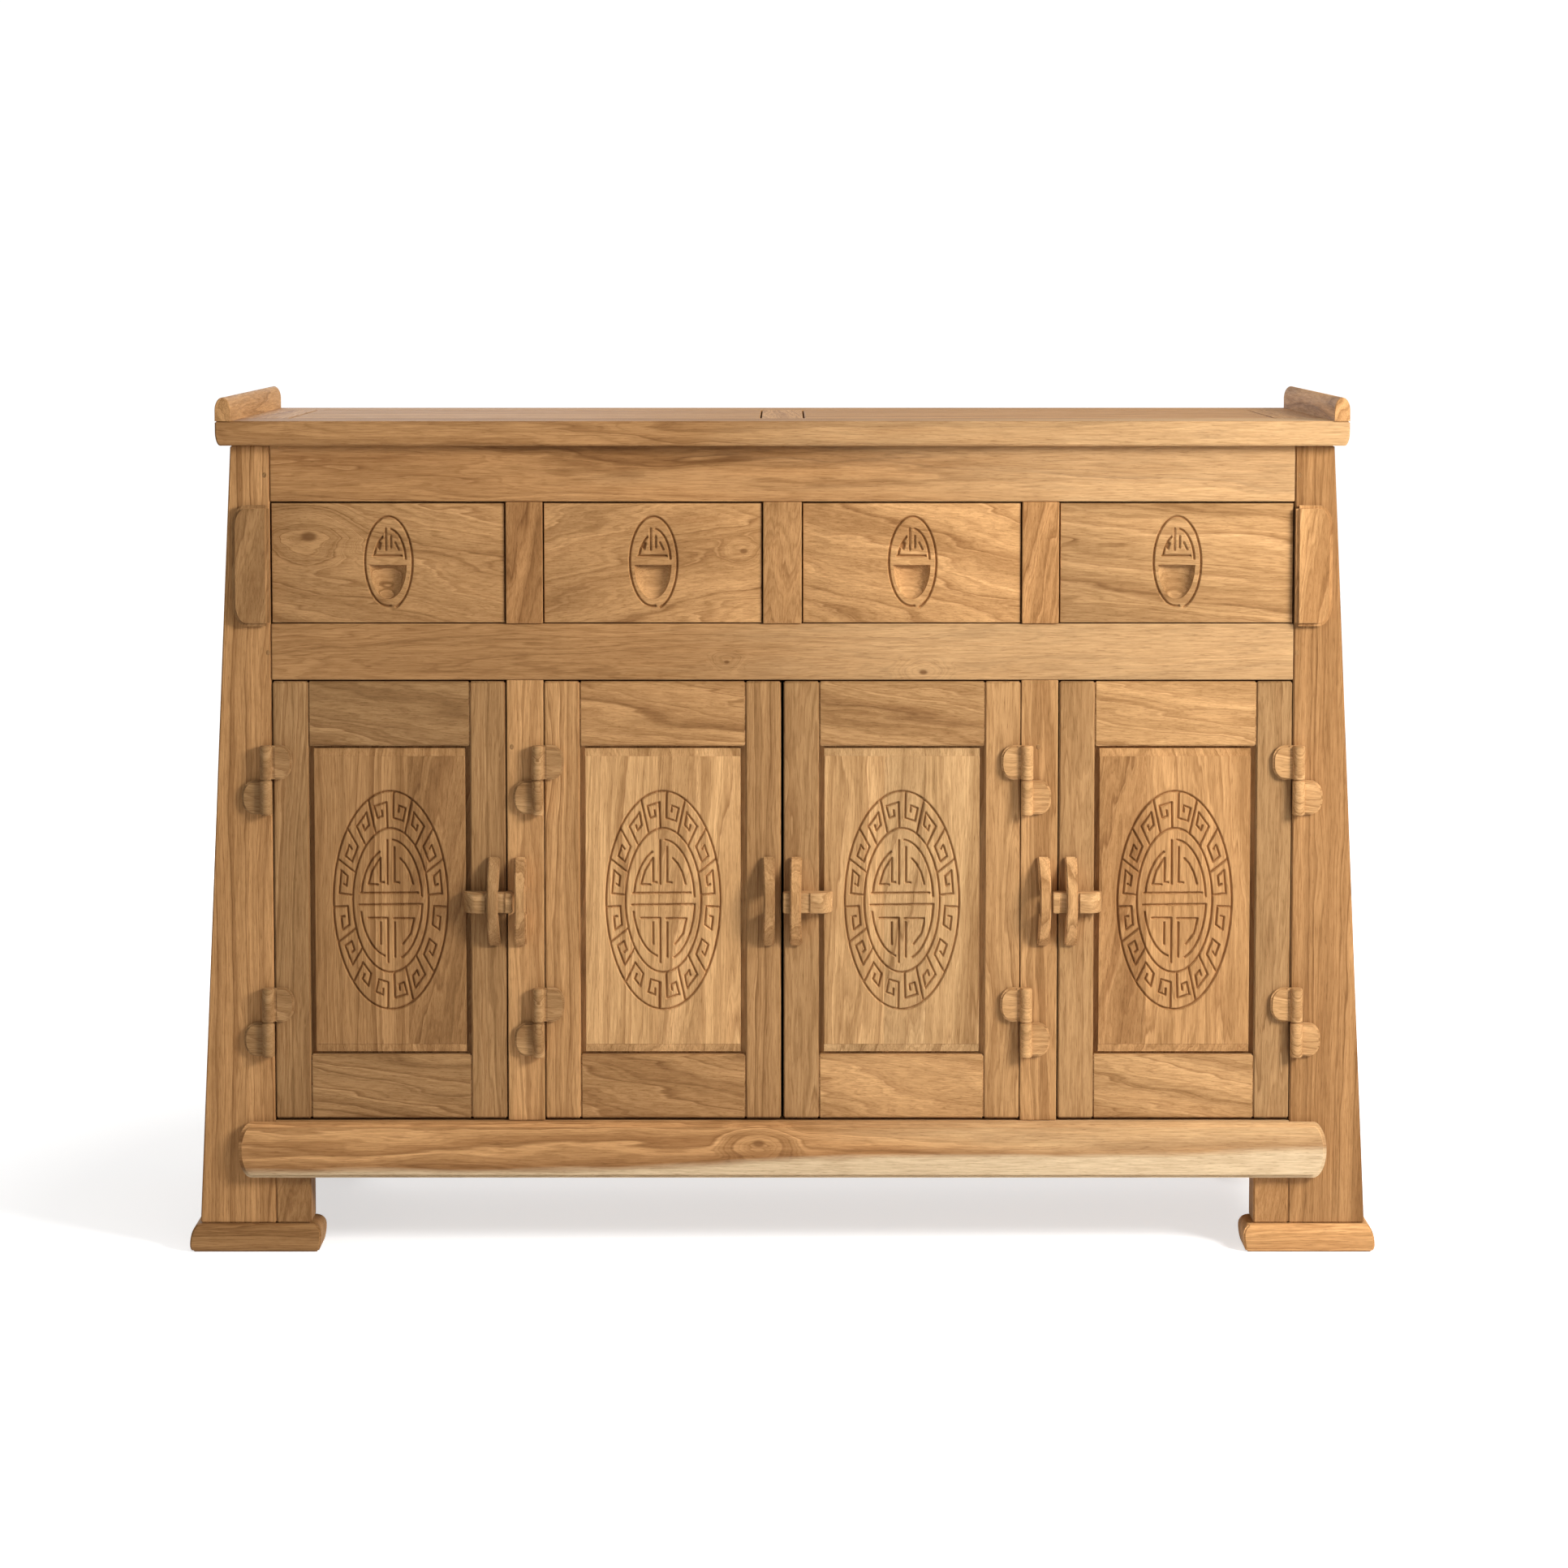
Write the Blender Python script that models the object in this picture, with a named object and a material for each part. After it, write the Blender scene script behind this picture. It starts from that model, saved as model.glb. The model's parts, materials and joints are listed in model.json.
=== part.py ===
"""Teak buffet cabinet: four drawers over four doors, on splayed legs with moulded feet.

Metres, +Z up, the front towards -Y. The origin is on the floor, under the middle of the cabinet.
"""

import math

import bmesh
import bpy
from mathutils import Vector

# Fits and running gaps
FIT = 0.0003  # between pieces that touch
SLIDE_CLEARANCE = 0.0005  # round a bolt in its slot
HINGE_CLEARANCE = 0.0004  # hinge barrel to the faces behind and beside it
PIN_CLEARANCE = 0.0004
DOOR_HINGE_GAP = 0.001
DOOR_SWING_CLEARANCE = 0.0002  # left at the free edge while the door swings out
DOOR_FOOT_GAP = 0.003
DOOR_HEAD_GAP = 0.002
DRAWER_SIDE_GAP = 0.0016
DRAWER_FOOT_GAP = 0.0012
DRAWER_HEAD_GAP = 0.002
DRAWER_BACK_GAP = 0.012
TOP_PANEL_END_GAP = 0.002

# Edge rounding
EDGE_SOFTNESS = 0.0012
EAR_SOFTNESS = 0.004
PANEL_SOFTNESS = 0.0006
BOLT_SOFTNESS = 0.0008

# Heights, stacked from the floor
FOOT_HEIGHT = 0.033
LEG_HEIGHT = 0.0575
BOTTOM_RAIL_HEIGHT = 0.0655
DOOR_OPENING_HEIGHT = 0.523
MIDDLE_RAIL_HEIGHT = 0.066
DRAWER_OPENING_HEIGHT = 0.143
FRIEZE_RAIL_HEIGHT = 0.066
TOP_THICKNESS = 0.0285
SCROLL_RISE = 0.0275

# Widths across the front
INNER_BAY_WIDTH = 0.560
DOOR_POST_WIDTH = 0.043
OUTER_BAY_WIDTH = 0.275
CENTRE_BAR_WIDTH = 0.045
POST_TOP_WIDTH = 0.0457
POST_FOOT_WIDTH = 0.090
LEG_BLOCK_WIDTH = 0.041

# Depths of the carcass
CARCASS_DEPTH = 0.420
POST_DEPTH = 0.045
RAIL_DEPTH = 0.028
DRAWER_BAR_PROUD = 0.003

# Bottom rail: a round-ended board, rebated to lap over the posts
BOTTOM_RAIL_PROUD = 0.016
BOTTOM_RAIL_LAP = 0.043
BOTTOM_RAIL_END = 0.0155  # how far each end of the board bulges
BOTTOM_RAIL_ROUNDING = 0.0045

# Moulded feet: how far they swell past the leg, and where each side is fullest (share of the height)
FOOT_SIDE_OVERHANG = 0.012
FOOT_FRONT_OVERHANG = 0.008
FOOT_OUTER_CREST = 0.25
FOOT_INNER_CREST = 0.625
FOOT_TUCK = 0.003  # drawn back in at the floor
FOOT_LEDGE = 0.0015  # left standing out at the top
FOOT_RINGS = 8

# Raised ear blocks beside the drawers
EAR_RISE = 0.011
EAR_ROOT = 0.003
EAR_INNER_INSET = 0.0005
EAR_OUTER_MARGIN = 0.005
EAR_FOOT_LAP = 0.0025
EAR_HEAD_DROP = 0.004
EAR_CORNER = (0.016, 0.026)

# Framed sides and back, floor and drawer deck
SIDE_INSET = 0.003
SIDE_THICKNESS = 0.022
SIDE_FIELD_RECESS = 0.008
SIDE_RAIL_HEIGHT = 0.070
BACK_INSET = 0.004
BACK_THICKNESS = 0.018
BACK_FIELD_RECESS = 0.008
BACK_STILE_WIDTH = 0.062
BACK_RAIL_HEIGHT = 0.062
BACK_COLUMNS = 3
FLOOR_THICKNESS = 0.016
DECK_THICKNESS = 0.014
GUIDE_HEIGHT = 0.016
GUIDE_WIDTH = 0.014
GUIDE_ROOT = 0.002

# Top: a frame with two panels dropped on ledges, and an everted strip on each end
TOP_FRONT_OVERHANG = 0.020
TOP_BACK_OVERHANG = 0.010
TOP_SIDE_OVERHANG = 0.0148
TOP_END_ROUNDING = 0.007
TOP_RAIL_WIDTH = 0.092
TOP_END_WIDTH = 0.0735
TOP_MUNTIN_WIDTH = 0.049
TOP_PANEL_THICKNESS = 0.016
TOP_LEDGE = 0.010
SCROLL_WIDTH = 0.018
SCROLL_CROWN = 0.015

# Doors
DOOR_THICKNESS = 0.021
STILE_WIDTH = 0.0415
DOOR_RAIL_HEIGHT = 0.076
PANEL_TONGUE_THICKNESS = 0.006
PANEL_TONGUE_DEPTH = 0.007
PANEL_TONGUE_SETBACK = 0.0095
PANEL_SIDE_RABBET = 0.006
PANEL_END_RABBET = 0.003
PANEL_END_SLOPE = (0.009, 0.0025)  # length and drop of the slope at each end of the field
PANEL_FIELD_SETBACK = 0.002

# Wooden pin hinges
BARREL_RADIUS = 0.0072
KNUCKLE_HEIGHT = 0.041
KNUCKLE_GAP = 0.0006
HINGE_INSET = 0.1155
PIN_RADIUS = 0.0035
PIN_RISE = 0.030
PIN_HOLE_SPARE = 0.001
LEAF_THICKNESS = 0.008
LEAF_ROOT = 0.002
LEAF_SHOULDER = 0.0006
DOOR_LEAF_LENGTH = 0.0225
FRAME_LEAF_LENGTH = 0.0285
LEAF_CORNER = (0.014, 0.017)
ARM_LAP = 0.003

# Slide latches
BOLT_LENGTH = 0.0584
BOLT_HEIGHT = 0.024
BOLT_THICKNESS = 0.0195
BOLT_TIP_LENGTH = 0.0085
BOLT_NECK_LENGTH = 0.0225
BOLT_NECK_RECESS = 0.002
BOLT_HEAD_ROUNDING = 0.017
OUTER_BOLT_REACH = 0.0064  # tip past the door's edge, over the fixed door post
MIDDLE_BOLT_REACH = -0.0008  # tip stops short of the other door
KEEPER_WIDTH = 0.0144
KEEPER_HEIGHT = 0.105
KEEPER_CROWN = 0.0055  # wood over the slot
KEEPER_END = 0.004
KEEPER_SETBACK = 0.0158  # keeper's middle from the meeting line

# Drawers
DRAWER_FRONT_THICKNESS = 0.020
DRAWER_BOX_HEIGHT = 0.110
DRAWER_WALL = 0.011
DRAWER_BOTTOM = 0.008
DRAWER_BOX_INSET = 0.0005
SCOOP_WIDTH = 0.0435
SCOOP_HEIGHT = 0.040
SCOOP_DEPTH = 0.011
SCOOP_DROP = 0.0022

# Facets
ARC_STEPS = 5
KEEPER_STEPS = 12
BARREL_SIDES = 20
PIN_SIDES = 12
SCOOP_SEGMENTS = (24, 10)
EDGE_SEGMENTS = 2
SMALL_EDGE_SEGMENTS = 1
CUT_MARGIN = 0.01  # how far a cutter runs past what it cuts
EMPTY_SIZE = 0.05

# Finish: the wood runs from a browner left to a more golden right
TEAK_LEFT = (0.300, 0.168, 0.080)
TEAK_RIGHT = (0.440, 0.240, 0.105)
TEAK_ROUGHNESS = 0.48

# Levels worked out from the stack
RAIL_Z = FOOT_HEIGHT + LEG_HEIGHT
DOOR_Z = RAIL_Z + BOTTOM_RAIL_HEIGHT
MIDDLE_Z = DOOR_Z + DOOR_OPENING_HEIGHT
DRAWER_Z = MIDDLE_Z + MIDDLE_RAIL_HEIGHT
FRIEZE_Z = DRAWER_Z + DRAWER_OPENING_HEIGHT
TOP_Z = FRIEZE_Z + FRIEZE_RAIL_HEIGHT
TOP_FACE_Z = TOP_Z + TOP_THICKNESS

# Lines across the front, from the middle out
DOOR_POST_X = INNER_BAY_WIDTH / 2
OUTER_BAY_X = DOOR_POST_X + DOOR_POST_WIDTH
POST_X = OUTER_BAY_X + OUTER_BAY_WIDTH
CENTRE_BAR_X = CENTRE_BAR_WIDTH / 2
TOP_X = POST_X + POST_TOP_WIDTH + TOP_SIDE_OVERHANG

# Lines from front to back
KEEPER_RISE = BOLT_THICKNESS + 2 * SLIDE_CLEARANCE + KEEPER_CROWN
FRONT_REACH = max(KEEPER_RISE, TOP_FRONT_OVERHANG, BOTTOM_RAIL_PROUD)
BACK_REACH = max(TOP_BACK_OVERHANG, FOOT_FRONT_OVERHANG)
FACE_Y = (FRONT_REACH - CARCASS_DEPTH - BACK_REACH) / 2
BACK_Y = FACE_Y + CARCASS_DEPTH
RAIL_BACK_Y = FACE_Y + RAIL_DEPTH
BACK_PANEL_Y = BACK_Y - BACK_INSET - BACK_THICKNESS
TOP_FRONT_Y = FACE_Y - TOP_FRONT_OVERHANG
TOP_BACK_Y = BACK_Y + TOP_BACK_OVERHANG

# Doors and their hinge axes
DOOR_LOW = DOOR_Z + DOOR_FOOT_GAP
DOOR_HIGH = MIDDLE_Z - DOOR_HEAD_GAP
LATCH_Z = (DOOR_LOW + DOOR_HIGH) / 2
AXIS_OFFSET = BARREL_RADIUS + HINGE_CLEARANCE
AXIS_Y = FACE_Y - AXIS_OFFSET

# Each door: its number, the bay edge it hinges on, the edge it closes to, and the way it reaches
DOORS = (
    (1, -POST_X, -OUTER_BAY_X, 1),
    (2, -DOOR_POST_X, 0.0, 1),
    (3, DOOR_POST_X, 0.0, -1),
    (4, POST_X, OUTER_BAY_X, -1),
)
# Each latch: its name, the door that carries it, its meeting line, the way it locks, and its tip's reach
LATCHES = (
    ("left", 1, -OUTER_BAY_X, 1, OUTER_BOLT_REACH),
    ("middle", 3, 0.0, -1, MIDDLE_BOLT_REACH),
    ("right", 4, OUTER_BAY_X, -1, OUTER_BOLT_REACH),
)
DRAWERS = (
    (1, -POST_X, -OUTER_BAY_X),
    (2, -DOOR_POST_X, -CENTRE_BAR_X),
    (3, CENTRE_BAR_X, DOOR_POST_X),
    (4, OUTER_BAY_X, POST_X),
)
SIDES = (("left", -1), ("right", 1))


# Shapes


def loft(rings):
    """A closed solid through rings of points that run the same way round."""
    solid = bmesh.new()
    loops = [[solid.verts.new(point) for point in ring] for ring in rings]
    for first, second in zip(loops, loops[1:]):
        for i in range(len(first)):
            j = (i + 1) % len(first)
            solid.faces.new((first[i], first[j], second[j], second[i]))
    solid.faces.new(loops[0][::-1])
    solid.faces.new(loops[-1])
    return solid


def prism(outline, axis, low, high):
    """An outline in the plane across an axis, drawn out along it."""
    at = {
        "X": lambda u, v, w: (w, u, v),
        "Y": lambda u, v, w: (u, w, v),
        "Z": lambda u, v, w: (u, v, w),
    }[axis]
    return loft([[at(u, v, w) for u, v in outline] for w in (low, high)])


def block(x, y, z):
    """A box between two lines on each axis, given in either order."""
    outline = [(x[0], y[0]), (x[1], y[0]), (x[1], y[1]), (x[0], y[1])]
    return prism(outline, "Z", *z)


def arc(centre, radii, start, end, steps=ARC_STEPS):
    """Points on an ellipse between two angles in degrees."""
    angles = [math.radians(start + (end - start) * i / steps) for i in range(steps + 1)]
    return [
        (centre[0] + radii[0] * math.cos(a), centre[1] + radii[1] * math.sin(a))
        for a in angles
    ]


def leaf_outline(root, tip, low, high, corner):
    """A flat leaf, square at its root, with its two far corners rounded."""
    reach = math.copysign(corner[0], tip - root)
    upper = arc((tip - reach, high - corner[1]), (reach, corner[1]), 90, 0)
    lower = arc((tip - reach, low + corner[1]), (reach, corner[1]), 0, -90)
    return [(root, low), (root, high)] + upper + lower


def rod(x, y, radius, low, high, sides):
    """An upright round rod."""
    circle = [2 * math.pi * i / sides for i in range(sides)]
    outline = [(x + radius * math.cos(a), y + radius * math.sin(a)) for a in circle]
    return prism(outline, "Z", low, high)


# Objects


def world_place(obj):
    """Where an object's origin lies, through the empties that carry it."""
    place = Vector()
    while obj:
        place += obj.location
        obj = obj.parent
    return place


def add_object(name, solid, parent, origin=None):
    """An object for a solid drawn in world space, with its origin on its parent or at a given place."""
    carrier = world_place(parent)
    place = carrier if origin is None else Vector(origin)
    bmesh.ops.recalc_face_normals(solid, faces=solid.faces)
    bmesh.ops.translate(solid, verts=solid.verts, vec=-place)
    mesh = bpy.data.meshes.new(name)
    solid.to_mesh(mesh)
    solid.free()
    obj = bpy.data.objects.new(name, mesh)
    bpy.context.scene.collection.objects.link(obj)
    obj.parent = parent
    obj.location = place - carrier
    return obj


def add_empty(name, place, parent=None):
    empty = bpy.data.objects.new(name, None)
    empty.empty_display_size = EMPTY_SIZE
    bpy.context.scene.collection.objects.link(empty)
    empty.parent = parent
    empty.location = Vector(place) - world_place(parent)
    return empty


def soften(obj, width, segments):
    """Rounds the sharp edges of an object."""
    modifier = obj.modifiers.new("softened_edges", "BEVEL")
    modifier.width = width
    modifier.segments = segments
    modifier.limit_method = "ANGLE"
    modifier.angle_limit = math.radians(40)


def combine(obj, operation, solid, softness=0.0, segments=EDGE_SEGMENTS):
    """Joins a solid to an object, or cuts it away."""
    helper = add_object(f"{obj.name}_{operation.lower()}_{len(obj.modifiers)}", solid, obj.parent)
    helper.hide_render = True
    helper.display_type = "WIRE"
    if softness:
        soften(helper, softness, segments)
    modifier = obj.modifiers.new(helper.name, "BOOLEAN")
    modifier.operation = operation
    modifier.solver = "EXACT"
    modifier.object = helper


def teak(name, x):
    """Waxed teak, more golden towards the right of the cabinet."""
    share = min(1.0, max(0.0, 0.5 + 0.5 * x / TOP_X))
    colour = [a + (b - a) * share for a, b in zip(TEAK_LEFT, TEAK_RIGHT)]
    material = bpy.data.materials.new(f"{name}_teak")
    material.use_nodes = True
    shader = material.node_tree.nodes["Principled BSDF"]
    shader.inputs["Base Color"].default_value = (*colour, 1.0)
    shader.inputs["Roughness"].default_value = TEAK_ROUGHNESS
    shader.inputs["Metallic"].default_value = 0.0
    return material


def add_piece(name, solid, parent, softness=EDGE_SOFTNESS, segments=EDGE_SEGMENTS, origin=None):
    """A visible piece with its own material and softened edges."""
    middle = sum((vert.co.x for vert in solid.verts), 0.0) / len(solid.verts)
    obj = add_object(name, solid, parent, origin)
    obj.data.materials.append(teak(name, middle))
    obj.data.shade_smooth()
    obj.data.set_sharp_from_angle(angle=math.radians(35))
    if softness:
        soften(obj, softness, segments)
    return obj


# Carcass


def post_outer(z):
    """The splayed outer edge of a post at a height."""
    share = (z - FOOT_HEIGHT) / (TOP_Z - FOOT_HEIGHT)
    return POST_X + POST_FOOT_WIDTH + (POST_TOP_WIDTH - POST_FOOT_WIDTH) * share


def side_inner(z):
    """The inner face of a framed side at a height."""
    return post_outer(z) - SIDE_INSET - SIDE_THICKNESS


def add_post(name, side, front, back, carcass):
    """A tapered post with the block glued beside it under the bottom rail."""
    low = FOOT_HEIGHT + FIT
    high = TOP_Z - FIT
    block_x = POST_X - LEG_BLOCK_WIDTH
    block_top = RAIL_Z - FIT
    outline = [
        (block_x, low),
        (post_outer(low), low),
        (post_outer(high), high),
        (POST_X, high),
        (POST_X, block_top),
        (block_x, block_top),
    ]
    solid = prism([(side * x, z) for x, z in outline], "Y", front, back)
    return add_piece(name, solid, carcass)


def add_ear(post, side):
    """The raised block on a front post, level with the drawers."""
    high = FRIEZE_Z - EAR_HEAD_DROP
    outline = leaf_outline(
        side * (POST_X + EAR_INNER_INSET),
        side * (post_outer(high) - EAR_OUTER_MARGIN),
        DRAWER_Z - EAR_FOOT_LAP,
        high,
        EAR_CORNER,
    )
    solid = prism(outline, "Y", FACE_Y - EAR_RISE, FACE_Y + EAR_ROOT)
    combine(post, "UNION", solid, EAR_SOFTNESS)


def foot_swell(share, crest, overhang):
    """How far a foot stands out at a share of its height: tucked in below its crest, rounded over above."""
    if share < crest:
        return overhang - FOOT_TUCK * ((crest - share) / crest) ** 2
    rise = (share - crest) / (1 - crest)
    return FOOT_LEDGE + (overhang - FOOT_LEDGE) * math.sqrt(1 - rise**2)


def add_foot(name, side, front, back, carcass):
    rings = []
    for i in range(FOOT_RINGS + 1):
        share = i / FOOT_RINGS
        outer = post_outer(FOOT_HEIGHT) + foot_swell(share, FOOT_OUTER_CREST, FOOT_SIDE_OVERHANG)
        inner = POST_X - LEG_BLOCK_WIDTH - foot_swell(share, FOOT_INNER_CREST, FOOT_SIDE_OVERHANG)
        spread = foot_swell(share, FOOT_OUTER_CREST, FOOT_FRONT_OVERHANG)
        y0, y1 = front - spread, back + spread
        corners = ((inner, y0), (outer, y0), (outer, y1), (inner, y1))
        rings.append([(side * x, y, share * FOOT_HEIGHT) for x, y in corners])
    add_piece(name, loft(rings), carcass)


def add_posts_and_feet(carcass):
    rows = (("front", FACE_Y, FACE_Y + POST_DEPTH), ("back", BACK_Y - POST_DEPTH, BACK_Y))
    for row, front, back in rows:
        for name, side in SIDES:
            post = add_post(f"{row}_post_{name}", side, front, back, carcass)
            if row == "front":
                add_ear(post, side)
            add_foot(f"{row}_foot_{name}", side, front, back, carcass)


def add_bottom_rail(carcass):
    """A thick round-ended rail, rounded over in front and rebated at each end to lap over the post."""
    half = BOTTOM_RAIL_HEIGHT / 2
    end = POST_X + BOTTOM_RAIL_LAP
    front = FACE_Y - BOTTOM_RAIL_PROUD
    rounding = BOTTOM_RAIL_ROUNDING

    def ring(inset, y):
        radii = (BOTTOM_RAIL_END - inset, half - inset)
        right = arc((end - BOTTOM_RAIL_END, RAIL_Z + half), radii, -90, 90, 2 * ARC_STEPS)
        return [(x, y, z) for x, z in right + [(-x, z) for x, z in reversed(right)]]

    profile = arc((rounding, front + rounding), (-rounding, -rounding), 90, 0, ARC_STEPS)
    solid = loft([ring(*point) for point in profile] + [ring(0.0, RAIL_BACK_Y)])
    rail = add_piece("bottom_rail", solid, carcass, softness=0.0)
    rebate_y = (FACE_Y - FIT, RAIL_BACK_Y + CUT_MARGIN)
    rebate_z = (RAIL_Z - CUT_MARGIN, DOOR_Z + CUT_MARGIN)
    for _, side in SIDES:
        rebate_x = (side * (POST_X - FIT), side * (end + CUT_MARGIN))
        combine(rail, "DIFFERENCE", block(rebate_x, rebate_y, rebate_z))
    soften(rail, EDGE_SOFTNESS, EDGE_SEGMENTS)


def add_face_frame(carcass):
    """Rails between the posts, bars between the drawers and posts between the doors."""
    between = (FIT - POST_X, POST_X - FIT)
    depth = (FACE_Y, RAIL_BACK_Y)
    add_piece("frieze_rail", block(between, depth, (FRIEZE_Z, TOP_Z - FIT)), carcass)
    add_piece("middle_rail", block(between, depth, (MIDDLE_Z, DRAWER_Z)), carcass)
    add_bottom_rail(carcass)
    proud = (FACE_Y - DRAWER_BAR_PROUD, RAIL_BACK_Y)
    bar_z = (DRAWER_Z + FIT, FRIEZE_Z - FIT)
    add_piece("drawer_bar_centre", block((-CENTRE_BAR_X, CENTRE_BAR_X), proud, bar_z), carcass)
    for name, side in SIDES:
        x = (side * DOOR_POST_X, side * OUTER_BAY_X)
        add_piece(f"drawer_bar_{name}", block(x, proud, bar_z), carcass)
        add_piece(f"door_post_{name}", block(x, depth, (DOOR_Z + FIT, MIDDLE_Z - FIT)), carcass)


def add_sides(carcass):
    """Framed sides between the posts: a rail above and below, and a sunk field, leaning with the posts."""
    low, high = RAIL_Z, TOP_Z - FIT
    field_low, field_high = low + SIDE_RAIL_HEIGHT, high - SIDE_RAIL_HEIGHT

    def outer(z, recess=0.0):
        return (post_outer(z) - SIDE_INSET - recess, z)

    outline = [
        outer(low),
        outer(field_low),
        outer(field_low, SIDE_FIELD_RECESS),
        outer(field_high, SIDE_FIELD_RECESS),
        outer(field_high),
        outer(high),
        outer(high, SIDE_THICKNESS),
        outer(low, SIDE_THICKNESS),
    ]
    front, back = FACE_Y + POST_DEPTH + FIT, BACK_Y - POST_DEPTH - FIT
    for name, side in SIDES:
        solid = prism([(side * x, z) for x, z in outline], "Y", front, back)
        add_piece(f"side_panel_{name}", solid, carcass)


def add_back(carcass):
    """A framed back: sunk fields between its stiles and rails, in two rows."""
    half = POST_X - FIT
    back = BACK_PANEL_Y + BACK_THICKNESS
    high = TOP_Z - FIT
    panel = add_piece("back_panel", block((-half, half), (BACK_PANEL_Y, back), (RAIL_Z, high)), carcass)
    pitch = (2 * half - BACK_STILE_WIDTH) / BACK_COLUMNS
    rows = (
        (RAIL_Z + BACK_RAIL_HEIGHT, DRAWER_Z - BACK_RAIL_HEIGHT),
        (DRAWER_Z, high - BACK_RAIL_HEIGHT),
    )
    for column in range(BACK_COLUMNS):
        left = -half + BACK_STILE_WIDTH + pitch * column
        x = (left, left + pitch - BACK_STILE_WIDTH)
        for z in rows:
            combine(panel, "DIFFERENCE", block(x, (back - BACK_FIELD_RECESS, back + CUT_MARGIN), z))


def shelf_outline(level):
    """Plan of a board that fills the carcass at a level, notched round the four posts."""
    narrow, wide = POST_X - FIT, side_inner(level) - FIT
    front, notch_front = RAIL_BACK_Y + FIT, FACE_Y + POST_DEPTH + FIT
    notch_back, back = BACK_Y - POST_DEPTH - FIT, BACK_PANEL_Y - FIT
    right = [
        (narrow, front),
        (narrow, notch_front),
        (wide, notch_front),
        (wide, notch_back),
        (narrow, notch_back),
        (narrow, back),
    ]
    return right + [(-x, y) for x, y in reversed(right)]


def add_shelves(carcass):
    """The cupboard floor, and the deck that carries the drawers between guide strips."""
    floor = prism(shelf_outline(DOOR_Z), "Z", DOOR_Z - FLOOR_THICKNESS, DOOR_Z)
    add_piece("cupboard_floor", floor, carcass, softness=0.0)
    deck = prism(shelf_outline(DRAWER_Z), "Z", DRAWER_Z - DECK_THICKNESS, DRAWER_Z)
    deck = add_piece("drawer_deck", deck, carcass, softness=0.0)
    inside = (RAIL_BACK_Y + 2 * FIT, BACK_PANEL_Y - 2 * FIT)
    beside = (FACE_Y + POST_DEPTH + 2 * FIT, BACK_Y - POST_DEPTH - 2 * FIT)
    strips = [((-CENTRE_BAR_X, CENTRE_BAR_X), inside)]
    for _, side in SIDES:
        strips.append(((side * DOOR_POST_X, side * OUTER_BAY_X), inside))
        strips.append(((side * POST_X, side * (POST_X + GUIDE_WIDTH)), beside))
    for x, y in strips:
        combine(deck, "UNION", block(x, y, (DRAWER_Z - GUIDE_ROOT, DRAWER_Z + GUIDE_HEIGHT)))


def add_top(carcass):
    """A framed top whose two panels lie on ledges, with gaps at their ends for the wood to move."""
    low = TOP_Z + TOP_END_ROUNDING
    radii = (TOP_END_ROUNDING, TOP_END_ROUNDING)
    right = arc((TOP_X - TOP_END_ROUNDING, low), radii, -90, 0) + [(TOP_X, TOP_FACE_Z)]
    outline = right + [(-x, z) for x, z in reversed(right)]
    frame = add_piece("top_frame", prism(outline, "Y", TOP_FRONT_Y, TOP_BACK_Y), carcass)
    hole_y = (TOP_FRONT_Y + TOP_RAIL_WIDTH, TOP_BACK_Y - TOP_RAIL_WIDTH)
    ledge_z = TOP_FACE_Z - TOP_PANEL_THICKNESS
    for name, side in SIDES:
        near, far = TOP_MUNTIN_WIDTH / 2, TOP_X - TOP_END_WIDTH
        seat = block((side * near, side * far), hole_y, (ledge_z, TOP_FACE_Z + CUT_MARGIN))
        combine(frame, "DIFFERENCE", seat)
        clear_x = (side * (near + TOP_LEDGE), side * (far - TOP_LEDGE))
        clear_y = (hole_y[0] + TOP_LEDGE, hole_y[1] - TOP_LEDGE)
        combine(frame, "DIFFERENCE", block(clear_x, clear_y, (TOP_Z - CUT_MARGIN, TOP_FACE_Z)))
        x = (side * (near + TOP_PANEL_END_GAP), side * (far - TOP_PANEL_END_GAP))
        y = (hole_y[0] + FIT, hole_y[1] - FIT)
        add_piece(f"top_panel_{name}", block(x, y, (ledge_z + FIT, TOP_FACE_Z)), carcass)
        add_scroll(name, side, carcass)


def add_scroll(name, side, carcass):
    """The everted strip along an end of the top, rounded over its crest."""
    inner, crest = TOP_X - SCROLL_WIDTH, TOP_FACE_Z + SCROLL_RISE
    middle = (TOP_X - SCROLL_WIDTH / 2, crest - SCROLL_CROWN)
    crown = arc(middle, (SCROLL_WIDTH / 2, SCROLL_CROWN), 0, 180, 2 * ARC_STEPS)
    outline = [(inner, TOP_FACE_Z + FIT), (TOP_X, TOP_FACE_Z + FIT)] + crown
    solid = prism([(side * x, z) for x, z in outline], "Y", TOP_FRONT_Y, TOP_BACK_Y)
    add_piece(f"top_scroll_{name}", solid, carcass)


# Doors, hinges and latches


def swing_gap(bay_width):
    """Gap at a door's free edge that its back corner needs as it swings out."""
    reach = bay_width + AXIS_OFFSET
    return math.hypot(reach, DOOR_THICKNESS + AXIS_OFFSET) - reach + DOOR_SWING_CLEARANCE


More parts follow.
